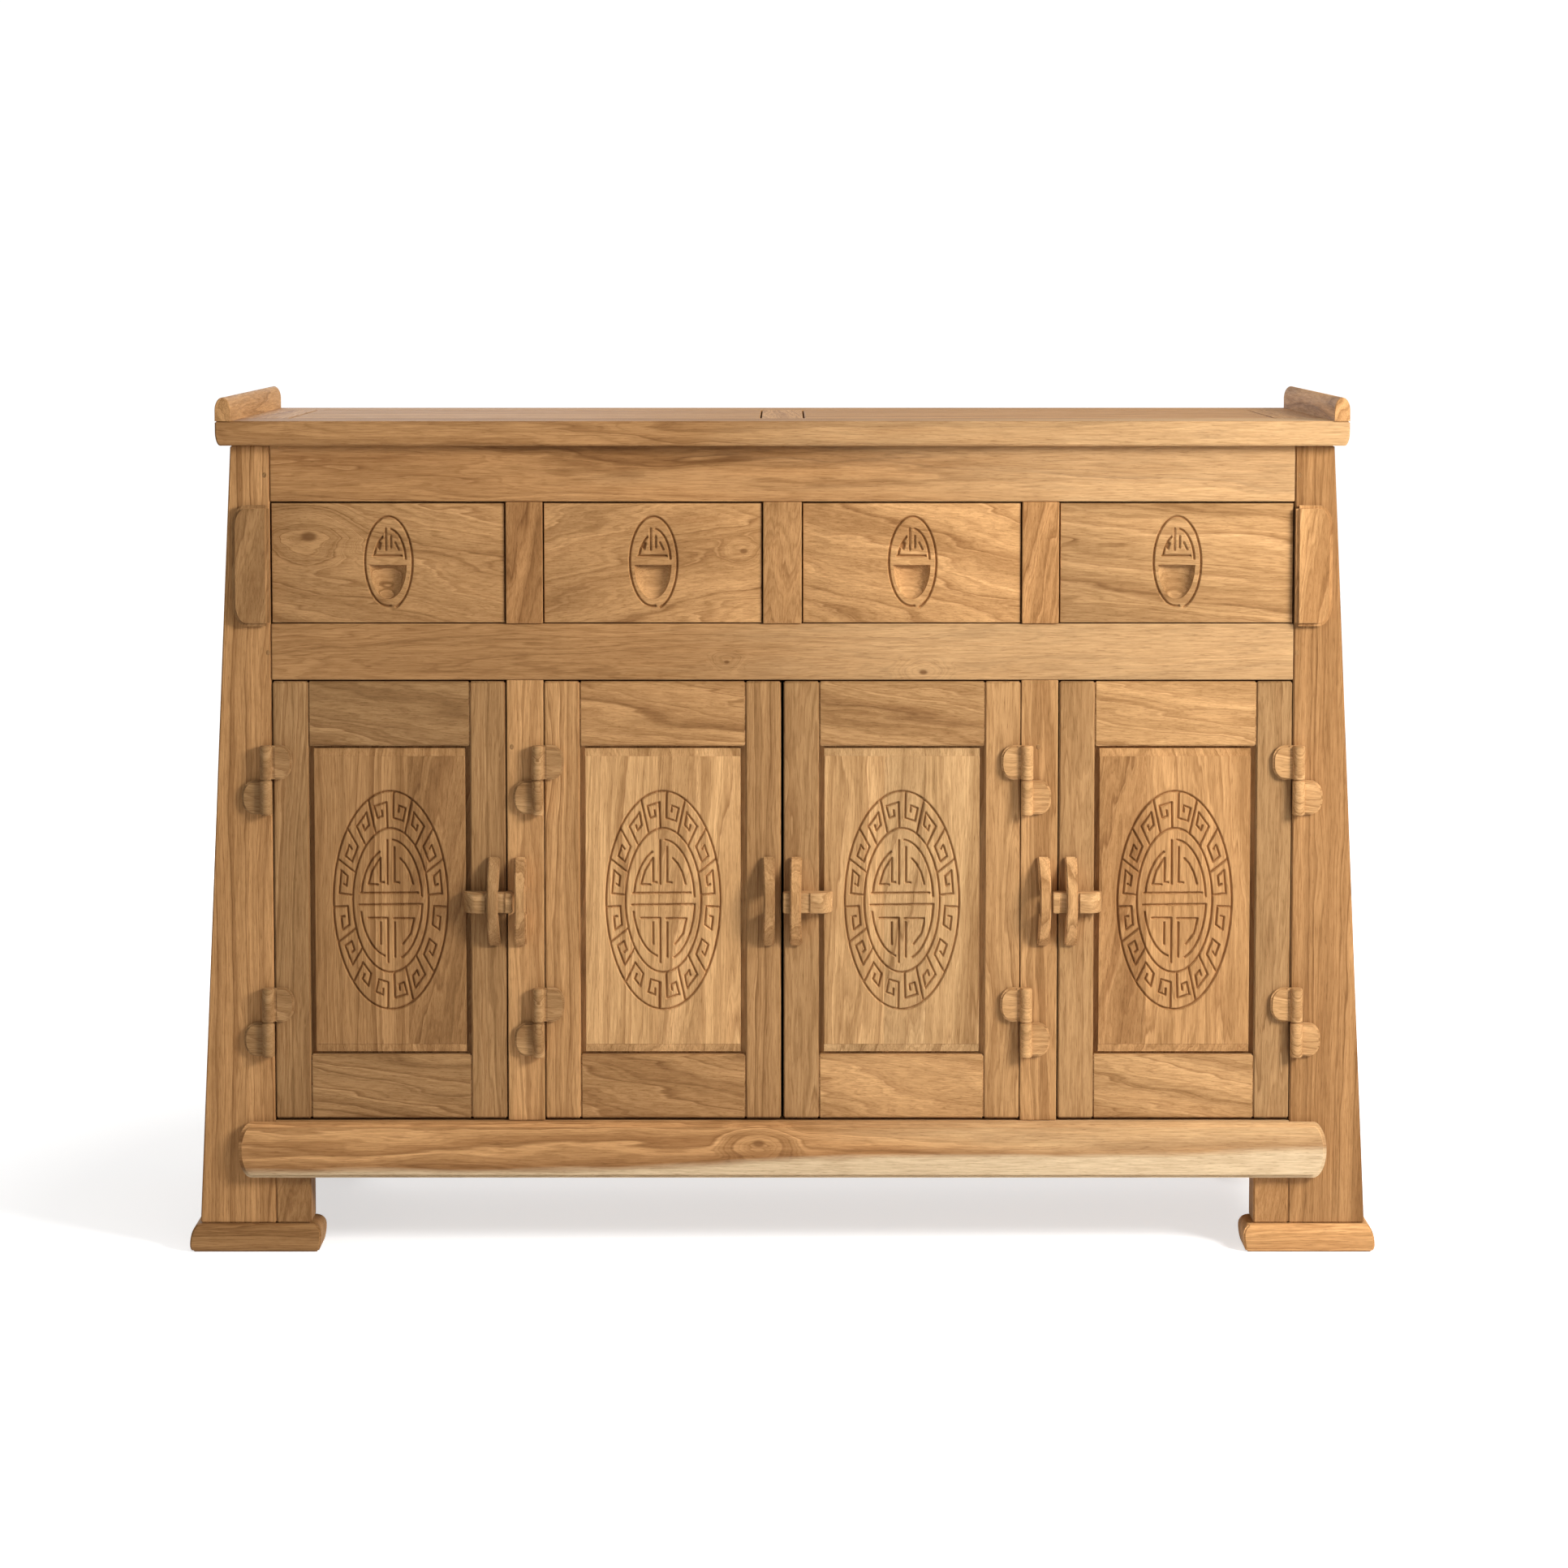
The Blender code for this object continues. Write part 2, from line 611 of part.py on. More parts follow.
def add_door_frame(number, x, axis):
    """Stiles and rails round the panel opening, grooved for the panel's tongue."""
    inner_x = (min(x) + STILE_WIDTH, max(x) - STILE_WIDTH)
    inner_z = (DOOR_LOW + DOOR_RAIL_HEIGHT, DOOR_HIGH - DOOR_RAIL_HEIGHT)
    depth = (FACE_Y, FACE_Y + DOOR_THICKNESS)
    frame = add_piece(f"door_{number}_frame", block(x, depth, (DOOR_LOW, DOOR_HIGH)), axis)
    through = (FACE_Y - CUT_MARGIN, FACE_Y + DOOR_THICKNESS + CUT_MARGIN)
    combine(frame, "DIFFERENCE", block(inner_x, through, inner_z))
    groove = PANEL_TONGUE_DEPTH + FIT
    front = FACE_Y + PANEL_TONGUE_SETBACK
    groove_y = (front - FIT, front + PANEL_TONGUE_THICKNESS + FIT)
    groove_x = (inner_x[0] - groove, inner_x[1] + groove)
    groove_z = (inner_z[0] - groove, inner_z[1] + groove)
    combine(frame, "DIFFERENCE", block(groove_x, groove_y, groove_z))
    return frame, inner_x, inner_z


def add_door_panel(number, opening_x, opening_z, axis):
    """A raised panel: a tongue that fills the groove, and a field in front of it that slopes at its ends."""

    def ring(y, side, end):
        x0, x1 = opening_x[0] + side, opening_x[1] - side
        z0, z1 = opening_z[0] + end, opening_z[1] - end
        return [(x0, y, z0), (x1, y, z0), (x1, y, z1), (x0, y, z1)]

    front = FACE_Y + PANEL_TONGUE_SETBACK
    field = FACE_Y + PANEL_FIELD_SETBACK
    slope, drop = PANEL_END_SLOPE
    rings = [
        ring(front + PANEL_TONGUE_THICKNESS, -PANEL_TONGUE_DEPTH, -PANEL_TONGUE_DEPTH),
        ring(front, -PANEL_TONGUE_DEPTH, -PANEL_TONGUE_DEPTH),
        ring(front, PANEL_SIDE_RABBET, PANEL_END_RABBET),
        ring(field + drop, PANEL_SIDE_RABBET, PANEL_END_RABBET),
        ring(field, PANEL_SIDE_RABBET, PANEL_END_RABBET + slope),
    ]
    add_piece(f"door_{number}_panel", loft(rings), axis, PANEL_SOFTNESS)


def add_door_leaf(frame, edge, axis_x, way, split):
    """The door's half of a hinge: a leaf on the stile, an arm past its edge and the bored upper knuckle."""
    low, high = split + KNUCKLE_GAP, split + KNUCKLE_HEIGHT
    outline = leaf_outline(edge + way * FIT, edge + way * DOOR_LEAF_LENGTH, low, high, LEAF_CORNER)
    front = FACE_Y - LEAF_THICKNESS
    leaf = prism(outline, "Y", front, FACE_Y + LEAF_ROOT)
    combine(frame, "UNION", leaf, EDGE_SOFTNESS, SMALL_EDGE_SEGMENTS)
    arm_y = (front + LEAF_SHOULDER, FACE_Y - HINGE_CLEARANCE)
    arm_z = (low + LEAF_SHOULDER, high - LEAF_SHOULDER)
    combine(frame, "UNION", block((axis_x, edge + way * ARM_LAP), arm_y, arm_z))
    combine(frame, "UNION", rod(axis_x, AXIS_Y, BARREL_RADIUS, low, high, BARREL_SIDES))
    bore_top = split + PIN_RISE + PIN_HOLE_SPARE
    bore = rod(axis_x, AXIS_Y, PIN_RADIUS + PIN_CLEARANCE, split - CUT_MARGIN, bore_top, PIN_SIDES)
    combine(frame, "DIFFERENCE", bore)


def add_frame_leaf(name, axis_x, way, split, carcass):
    """The frame's half of a hinge: a leaf on the post, the lower knuckle and the pin standing in it."""
    low, high = split - KNUCKLE_HEIGHT, split
    outline = leaf_outline(
        axis_x, axis_x - way * FRAME_LEAF_LENGTH, low + LEAF_SHOULDER, high - LEAF_SHOULDER, LEAF_CORNER
    )
    solid = prism(outline, "Y", FACE_Y - LEAF_THICKNESS, FACE_Y - FIT)
    leaf = add_piece(name, solid, carcass, EDGE_SOFTNESS, SMALL_EDGE_SEGMENTS)
    combine(leaf, "UNION", rod(axis_x, AXIS_Y, BARREL_RADIUS, low, high, BARREL_SIDES))
    combine(leaf, "UNION", rod(axis_x, AXIS_Y, PIN_RADIUS, low + LEAF_SHOULDER, split + PIN_RISE, PIN_SIDES))


def add_keeper(name, x, parent):
    """An arched block over the bolt, with a square slot open to the wood behind it."""
    half = KEEPER_HEIGHT / 2
    sagitta = KEEPER_RISE - KEEPER_END
    radius = (half**2 + sagitta**2) / (2 * sagitta)
    spread = math.degrees(math.asin(half / radius))
    crown = arc((FACE_Y - KEEPER_RISE + radius, LATCH_Z), (-radius, radius), -spread, spread, KEEPER_STEPS)
    seat = FACE_Y - FIT
    outline = crown + [(seat, LATCH_Z + half), (seat, LATCH_Z - half)]
    x_range = (x - KEEPER_WIDTH / 2, x + KEEPER_WIDTH / 2)
    keeper = add_piece(name, prism(outline, "X", *x_range), parent, EDGE_SOFTNESS, SMALL_EDGE_SEGMENTS)
    slot_x = (x_range[0] - CUT_MARGIN, x_range[1] + CUT_MARGIN)
    slot_y = (FACE_Y - BOLT_THICKNESS - 2 * SLIDE_CLEARANCE, FACE_Y + CUT_MARGIN)
    slot = BOLT_HEIGHT / 2 + SLIDE_CLEARANCE
    combine(keeper, "DIFFERENCE", block(slot_x, slot_y, (LATCH_Z - slot, LATCH_Z + slot)))


def add_bolt(name, line, way, reach, parent):
    """A sliding bolt: a square tip, a neck under its keeper, and a head rounded down to the door."""
    base = FACE_Y - SLIDE_CLEARANCE
    face = base - BOLT_THICKNESS
    neck_end = reach - BOLT_TIP_LENGTH - BOLT_NECK_LENGTH
    tail = reach - BOLT_LENGTH
    head = (tail + BOLT_HEAD_ROUNDING, base)
    crown = arc(head, (BOLT_HEAD_ROUNDING, -BOLT_THICKNESS), 90, 180, 2 * ARC_STEPS)
    outline = [
        (reach, base),
        (reach, face),
        (reach - BOLT_TIP_LENGTH, face),
        (reach - BOLT_TIP_LENGTH, face + BOLT_NECK_RECESS),
        (neck_end, face + BOLT_NECK_RECESS),
        (neck_end, face),
    ] + crown
    outline = [(line + way * u, y) for u, y in outline]
    solid = prism(outline, "Z", LATCH_Z - BOLT_HEIGHT / 2, LATCH_Z + BOLT_HEIGHT / 2)
    origin = (line + way * reach, base - BOLT_THICKNESS / 2, LATCH_Z)
    add_piece(name, solid, parent, BOLT_SOFTNESS, SMALL_EDGE_SEGMENTS, origin)


def add_doors(carcass):
    axes = {}
    for number, hinge_line, free_line, way in DOORS:
        edge = hinge_line + way * DOOR_HINGE_GAP
        free = free_line - way * swing_gap(abs(free_line - hinge_line))
        axis_x = edge - way * AXIS_OFFSET
        axis = add_empty(f"door_{number}_axis", (axis_x, AXIS_Y, LATCH_Z), carcass)
        axes[number] = axis
        frame, opening_x, opening_z = add_door_frame(number, (edge, free), axis)
        add_door_panel(number, opening_x, opening_z, axis)
        for place, split in (("upper", DOOR_HIGH - HINGE_INSET), ("lower", DOOR_LOW + HINGE_INSET)):
            add_door_leaf(frame, edge, axis_x, way, split)
            add_frame_leaf(f"hinge_{number}_{place}", axis_x, way, split, carcass)
        add_keeper(f"door_{number}_keeper", free_line - way * KEEPER_SETBACK, axis)
    for name, side in SIDES:
        add_keeper(f"post_keeper_{name}", side * (OUTER_BAY_X - KEEPER_SETBACK), carcass)
    for name, carrier, line, way, reach in LATCHES:
        add_bolt(f"bolt_{name}", line, way, reach, axes[carrier])


# Drawers


def scoop(x):
    """The hollow under a drawer's pull: deep below a straight lip, running out to nothing at its foot."""
    solid = bmesh.new()
    around, along = SCOOP_SEGMENTS
    bmesh.ops.create_uvsphere(solid, u_segments=around, v_segments=along, radius=1.0)
    upper = [vert for vert in solid.verts if vert.co.z > FIT]
    bmesh.ops.delete(solid, geom=upper, context="VERTS")
    bmesh.ops.contextual_create(solid, geom=[edge for edge in solid.edges if edge.is_boundary])
    bmesh.ops.scale(solid, verts=solid.verts, vec=(SCOOP_WIDTH / 2, SCOOP_DEPTH, SCOOP_HEIGHT))
    middle = (DRAWER_Z + DRAWER_FOOT_GAP + FRIEZE_Z - DRAWER_HEAD_GAP) / 2
    bmesh.ops.translate(solid, verts=solid.verts, vec=(x, FACE_Y, middle - SCOOP_DROP))
    return solid


def add_drawers(carcass):
    for number, left, right in DRAWERS:
        x = (left + DRAWER_SIDE_GAP, right - DRAWER_SIDE_GAP)
        middle = (left + right) / 2
        slide = add_empty(f"drawer_{number}_slide", (middle, FACE_Y, DRAWER_Z), carcass)
        back = FACE_Y + DRAWER_FRONT_THICKNESS
        z = (DRAWER_Z + DRAWER_FOOT_GAP, FRIEZE_Z - DRAWER_HEAD_GAP)
        front = add_piece(f"drawer_{number}_front", block(x, (FACE_Y, back), z), slide)
        combine(front, "DIFFERENCE", scoop(middle))
        box_x = (x[0] + DRAWER_BOX_INSET, x[1] - DRAWER_BOX_INSET)
        box_y = (back + FIT, BACK_PANEL_Y - DRAWER_BACK_GAP)
        low = DRAWER_Z + FIT
        box = add_piece(f"drawer_{number}_box", block(box_x, box_y, (low, low + DRAWER_BOX_HEIGHT)), slide)
        hollow_x = (box_x[0] + DRAWER_WALL, box_x[1] - DRAWER_WALL)
        hollow_y = (back - CUT_MARGIN, box_y[1] - DRAWER_WALL)
        hollow_z = (low + DRAWER_BOTTOM, low + DRAWER_BOX_HEIGHT + CUT_MARGIN)
        combine(box, "DIFFERENCE", block(hollow_x, hollow_y, hollow_z))


def main():
    for obj in list(bpy.data.objects):
        bpy.data.objects.remove(obj, do_unlink=True)
    carcass = add_empty("carcass", (0, 0, 0))
    add_posts_and_feet(carcass)
    add_face_frame(carcass)
    add_sides(carcass)
    add_back(carcass)
    add_shelves(carcass)
    add_top(carcass)
    add_doors(carcass)
    add_drawers(carcass)


main()
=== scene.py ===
"""Looks of the teak buffet cabinet: its boards, carving, wooden hinges and latches, on a pale floor."""

import json
import math
from collections import namedtuple

import bmesh
import bpy
import numpy as np
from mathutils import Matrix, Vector, geometry


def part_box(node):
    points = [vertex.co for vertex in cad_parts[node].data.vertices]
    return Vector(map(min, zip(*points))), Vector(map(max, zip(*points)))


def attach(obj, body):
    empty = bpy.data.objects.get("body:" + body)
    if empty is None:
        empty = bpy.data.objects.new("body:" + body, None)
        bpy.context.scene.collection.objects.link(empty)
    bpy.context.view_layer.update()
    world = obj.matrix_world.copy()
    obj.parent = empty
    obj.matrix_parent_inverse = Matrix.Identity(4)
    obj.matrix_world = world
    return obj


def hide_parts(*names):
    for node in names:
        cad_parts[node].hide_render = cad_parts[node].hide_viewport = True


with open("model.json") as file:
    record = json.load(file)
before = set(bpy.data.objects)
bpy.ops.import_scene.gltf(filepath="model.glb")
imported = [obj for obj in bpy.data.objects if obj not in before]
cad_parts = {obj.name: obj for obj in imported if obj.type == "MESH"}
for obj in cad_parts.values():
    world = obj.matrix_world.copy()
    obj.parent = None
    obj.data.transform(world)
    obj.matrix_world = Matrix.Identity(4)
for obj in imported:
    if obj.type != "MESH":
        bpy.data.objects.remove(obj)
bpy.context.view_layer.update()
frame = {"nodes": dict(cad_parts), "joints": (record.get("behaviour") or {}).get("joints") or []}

# Lines that the frame gives
FACE_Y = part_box("frieze_rail")[0].y
RAIL_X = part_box("frieze_rail")[1].x

# Values that many pieces share
FIT = 0.0003  # the fine gap at a joint
SIDES = (("left", -1), ("right", 1))
JOINT_EASE = 0.0004  # rounding of a board's edge at a tight joint
EDGE_EASE = 0.0016  # rounding of a handled edge

# Photograph: its size in pixels, and a camera that sees the cabinet as it does
PHOTO_SIZE = 1932
CENTRE_PIXEL = 964
CAMERA_HEIGHT = 1.1516
CAMERA_DISTANCE = 4.4197  # from the carcass's face
CAMERA_TILT = math.radians(4.126)
FOCAL_PIXELS = 4676
SHIFT = 0.15
SENSOR = 36.0

# Teak: its tones, and what a knot, the painted shade in a cut and the part of a year leave of them
TEAK = (0.476, 0.253, 0.1)
SAPWOOD = (0.625, 0.462, 0.28)
PALE_AND_LIT = (0.70, 0.46, 0.232)  # partly heartwood that pales along a board, partly painted light towards the brighter right end
KNOT = (0.36, 0.28, 0.22)
PAINTED_CUT_SHADE = (0.58, 0.48, 0.40, 1.0)  # painted shade: what is left of the tone at the bottom of a carved line
PAINTED_CUT_SHADE_FALL = 1.6  # how fast that painted shade fades up the sides of a cut
RINGS = 88  # years of growth in a metre
YEAR = (  # tones from the start of a year's growth to its end
    (0.00, (1.18, 1.21, 1.26)),
    (0.13, (1.08, 1.09, 1.10)),
    (0.50, (1.02, 1.02, 1.02)),
    (0.80, (0.88, 0.85, 0.82)),
    (0.94, (0.64, 0.57, 0.51)),
    (1.00, (1.18, 1.21, 1.26)),
)
YEAR_DRIFT = (40, 2.0)  # how the width of a year wanders: scale, and reach in years
YEAR_PATCHES = (30, 3)  # scale and detail of the patches where years show more or less
YEAR_STRENGTH = (0.38, 0.62, 0.20, 0.95)  # from this range of the patches' noise to this strength

# Layers of the wood: scale and detail of their noise, their strength, and the tones from low to high noise
Layer = namedtuple("Layer", "scale detail strength tones")
BANDS = Layer(
    62, 3, 0.9, ((0.33, (0.78, 0.74, 0.70)), (0.47, (0.98, 0.98, 0.98)), (0.63, (1.17, 1.19, 1.22)))
)
LINES = Layer(520, 1.5, 0.6, ((0.36, (0.78, 0.74, 0.70)), (0.52, (1.05, 1.05, 1.06))))
CLOUDS = Layer(26, 3, 0.9, ((0.30, (0.85, 0.83, 0.80)), (0.70, (1.13, 1.14, 1.16))))
FIBRES = Layer(
    560, 3, 0.85, ((0.36, (0.85, 0.82, 0.79)), (0.50, (1.0, 1.0, 1.0)), (0.66, (1.14, 1.16, 1.18)))
)
PORES = Layer(1500, 1.5, 0.6, ((0.33, (0.62, 0.56, 0.50)), (0.42, (1.0, 1.0, 1.0))))
NOISE_ROUGHNESS = 0.6

# Figure of the wood, its pale bands, of sapwood and of painted light, and its finish
GRAIN_STRETCH = 9.0  # how much longer than wide the figure is
FIBRE_STRETCH = (0.45, 1, 1)  # fibres are longer still
BEND_SCALE = 9
BEND_REACH = (0.0, 0.05, 0.05)
WAVES = ((30, 0.022), (80, 0.009))  # waves of the grain: how many in a metre across it, and their reach
KNOT_SWELL = (4.5, 3.0)  # how far the grain swells round a knot, and how much, in sizes of the knot
KNOT_CORE = (0.7, 0.2, 0.8)  # where its dark core starts and is full, in sizes, and its strength
PALE_BAND_WAVES = (20, 3)  # scale and detail of the waves along a pale band's edge
PALE_BAND_WANDER = 0.016  # least reach of those waves
PALE_BAND_BORDER = (0.62, 0.55, 0.50, 1.0)  # tone of the darker line before a pale band
PALE_BAND_BORDER_PLACE = (1.6, 0.2, 0.8)  # where that line starts and is full, in widths, and its strength
ROUGHNESS = (0.74, 0.58)  # of the darkest and the palest fibres
FIBRE_RANGE = (0.8, 1.2)  # tones of the fibres between which that changes
SHEEN = 0.16
RELIEF_STRENGTH = 0.35
RELIEF_DEPTH = 0.0005
RELIEF_LINES = 0.7  # share of the fine lines in the relief

# Carving
GROOVE = 0.0021  # half-width of a carved line, which is cut to a V
GROOVE_DEPTH = 0.0027
FIELD_STEP = 0.0005  # grid on which the outlines of the lines are found
FIELD_MARGIN = 2.5 * GROOVE  # of that grid round the lines
FAR = 3 * GROOVE  # distances from a line are measured this far
OUTLINE_TOLERANCE = 0.00005
WELD = 1e-7  # points of a carved face closer than this are one
RIM_SHARE = 0.3  # share of an edge's rounding at which its face has one more line
MEDALLION = (0.0672, 0.1294)  # half-axes
PULL = (0.0275, 0.0530)


# Meshes


def loft(rings):
    """A closed bmesh through rings of points that run the same way round."""
    mesh = bmesh.new()
    loops = [[mesh.verts.new(point) for point in ring] for ring in rings]
    for first, second in zip(loops, loops[1:]):
        for i in range(len(first)):
            j = (i + 1) % len(first)
            mesh.faces.new((first[i], first[j], second[j], second[i]))
    mesh.faces.new(loops[0][::-1])
    mesh.faces.new(loops[-1])
    return mesh


def prism(outline, axis, low, high):
    """An outline in the plane across an axis, drawn out along it."""
    at = {
        "X": lambda u, v, w: (w, u, v),
        "Y": lambda u, v, w: (u, w, v),
        "Z": lambda u, v, w: (u, v, w),
    }[axis]
    return loft([[at(u, v, w) for u, v in outline] for w in (low, high)])


def block(x, y, z):
    outline = [(x[0], y[0]), (x[1], y[0]), (x[1], y[1]), (x[0], y[1])]
    return prism(outline, "Z", *z)


def arc(centre, radii, start, end, steps=10):
    """Points on an ellipse between two angles in degrees."""
    angles = [math.radians(start + (end - start) * i / steps) for i in range(steps + 1)]
    return [(centre[0] + radii[0] * math.cos(a), centre[1] + radii[1] * math.sin(a)) for a in angles]


def leaf_outline(root, tip, low, high, corner):
    """A flat leaf, square at its root, with its two far corners rounded."""
    reach = math.copysign(corner[0], tip - root)
    upper = arc((tip - reach, high - corner[1]), (reach, corner[1]), 90, 0)
    lower = arc((tip - reach, low + corner[1]), (reach, corner[1]), 0, -90)
    return [(root, low), (root, high)] + upper + lower


def ease_edges(mesh, width, segments=3, sharper_than=30, above=-math.inf):
    """Rounds the outward edges of a mesh, above a level, where its faces meet at more than an angle."""
    bmesh.ops.recalc_face_normals(mesh, faces=mesh.faces)
    sharp = [
        edge
        for edge in mesh.edges
        if len(edge.link_faces) == 2
        and edge.is_convex
        and math.degrees(edge.calc_face_angle(0)) > sharper_than
        and min(vert.co.z for vert in edge.verts) > above
    ]
    bmesh.ops.bevel(mesh, geom=sharp, offset=width, segments=segments, affect="EDGES", clamp_overlap=True)


def mesh_data(name, mesh):
    """Mesh data from a bmesh, which is freed."""
    data = bpy.data.meshes.new(name)
    mesh.to_mesh(data)
    mesh.free()
    return data


def add_object(name, data):
    """An object of the scene with a mesh, a lamp or a camera for its data."""
    thing = bpy.data.objects.new(name, data)
    bpy.context.scene.collection.objects.link(thing)
    return thing


def add_piece(name, mesh, body, materials, nodes=(), weighted=True, crease=40):
    """A piece of the visual model, which moves with a body and stands for its CAD nodes."""
    bmesh.ops.recalc_face_normals(mesh, faces=mesh.faces)
    data = mesh_data(name, mesh)
    piece = add_object(name, data)
    for material in materials if isinstance(materials, list) else [materials]:
        data.materials.append(material)
    data.shade_smooth()
    data.set_sharp_from_angle(angle=math.radians(crease))
    if weighted:
        piece.modifiers.new("even_flats", "WEIGHTED_NORMAL").keep_sharp = True
    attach(piece, body)
    if nodes:
        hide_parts(*([nodes] if isinstance(nodes, str) else nodes))
    return piece


def add_board(name, x, y, z, body, node, look, ease=JOINT_EASE):
    """A square board of teak, whose look is what teak takes after a name."""
    mesh = block(x, y, z)
    ease_edges(mesh, ease)
    add_piece(name, mesh, body, teak(name, *look), node)


# Wood


class Graph:
    """Adds nodes to a shader, and links or sets their inputs."""

    def __init__(self, owner):
        owner.use_nodes = True
        self.nodes, self.links = owner.node_tree.nodes, owner.node_tree.links

    def fill(self, node, inputs):
        """Links or sets inputs of a node, which are given by name or number."""
        for key, value in inputs.items():
            if isinstance(value, bpy.types.NodeSocket):
                self.links.new(value, node.inputs[key])
            else:
                node.inputs[key].default_value = value

    def add(self, kind, *values, **settings):
        """A node with its settings made and its first inputs filled."""
        node = self.nodes.new("ShaderNode" + kind)
        for name, value in settings.items():
            setattr(node, name, value)
        self.fill(node, dict(enumerate(values)))
        return node

    def math(self, operation, *values):
        return self.add("Math", *values, operation=operation).outputs[0]

    def vector(self, operation, *values):
        node = self.add("VectorMath", *values, operation=operation)
        return node.outputs["Value" if operation in ("LENGTH", "DOT_PRODUCT") else "Vector"]

    def span(self, value, low, high, first=0.0, last=1.0, smooth=False):
        """A value carried from one range to another."""
        kind = "SMOOTHERSTEP" if smooth else "LINEAR"
        return self.add("MapRange", value, low, high, first, last, interpolation_type=kind).outputs[0]

    def noise(self, place, scale, detail=2.0, output="Fac"):
        """Noise over a vector, or along a single value."""
        single = place.type == "VALUE"
        node = self.add("TexNoise", noise_dimensions="1D" if single else "3D")
        where = "W" if single else "Vector"
        self.fill(node, {where: place, "Scale": scale, "Detail": detail, "Roughness": NOISE_ROUGHNESS})
        return node.outputs[output]

    def ramp(self, value, stops):
        """A colour ramp through (position, colour) stops."""
        node = self.add("ValToRGB", value)
        elements = node.color_ramp.elements
        while len(elements) < len(stops):
            elements.new(0.5)
        for element, (position, colour) in zip(elements, stops):
            element.position = position
            element.color = (*colour, 1.0)
        return node.outputs[0]

    def layer(self, place, look):
        """The tones of one layer of the wood, from noise over a place."""
        return self.ramp(self.noise(place, look.scale, look.detail), look.tones)

    def mix(self, mode, share, first, second):
        """A mix of two colours, each a socket or a constant."""
        node = self.add("Mix", data_type="RGBA", blend_type=mode)
        self.fill(node, {0: share, 6: first, 7: second})
        return node.outputs[2]


# Turns that lay each grain along X, and what makes a knot longer along its grain
GRAIN_TURN = {"X": (0, 0, 0), "Y": (0, 0, -math.pi / 2), "Z": (0, math.pi / 2, 0)}
KNOT_STRETCH = {"X": (0.6, 0, 1), "Y": (1, 0.6, 0), "Z": (1, 0, 0.6)}


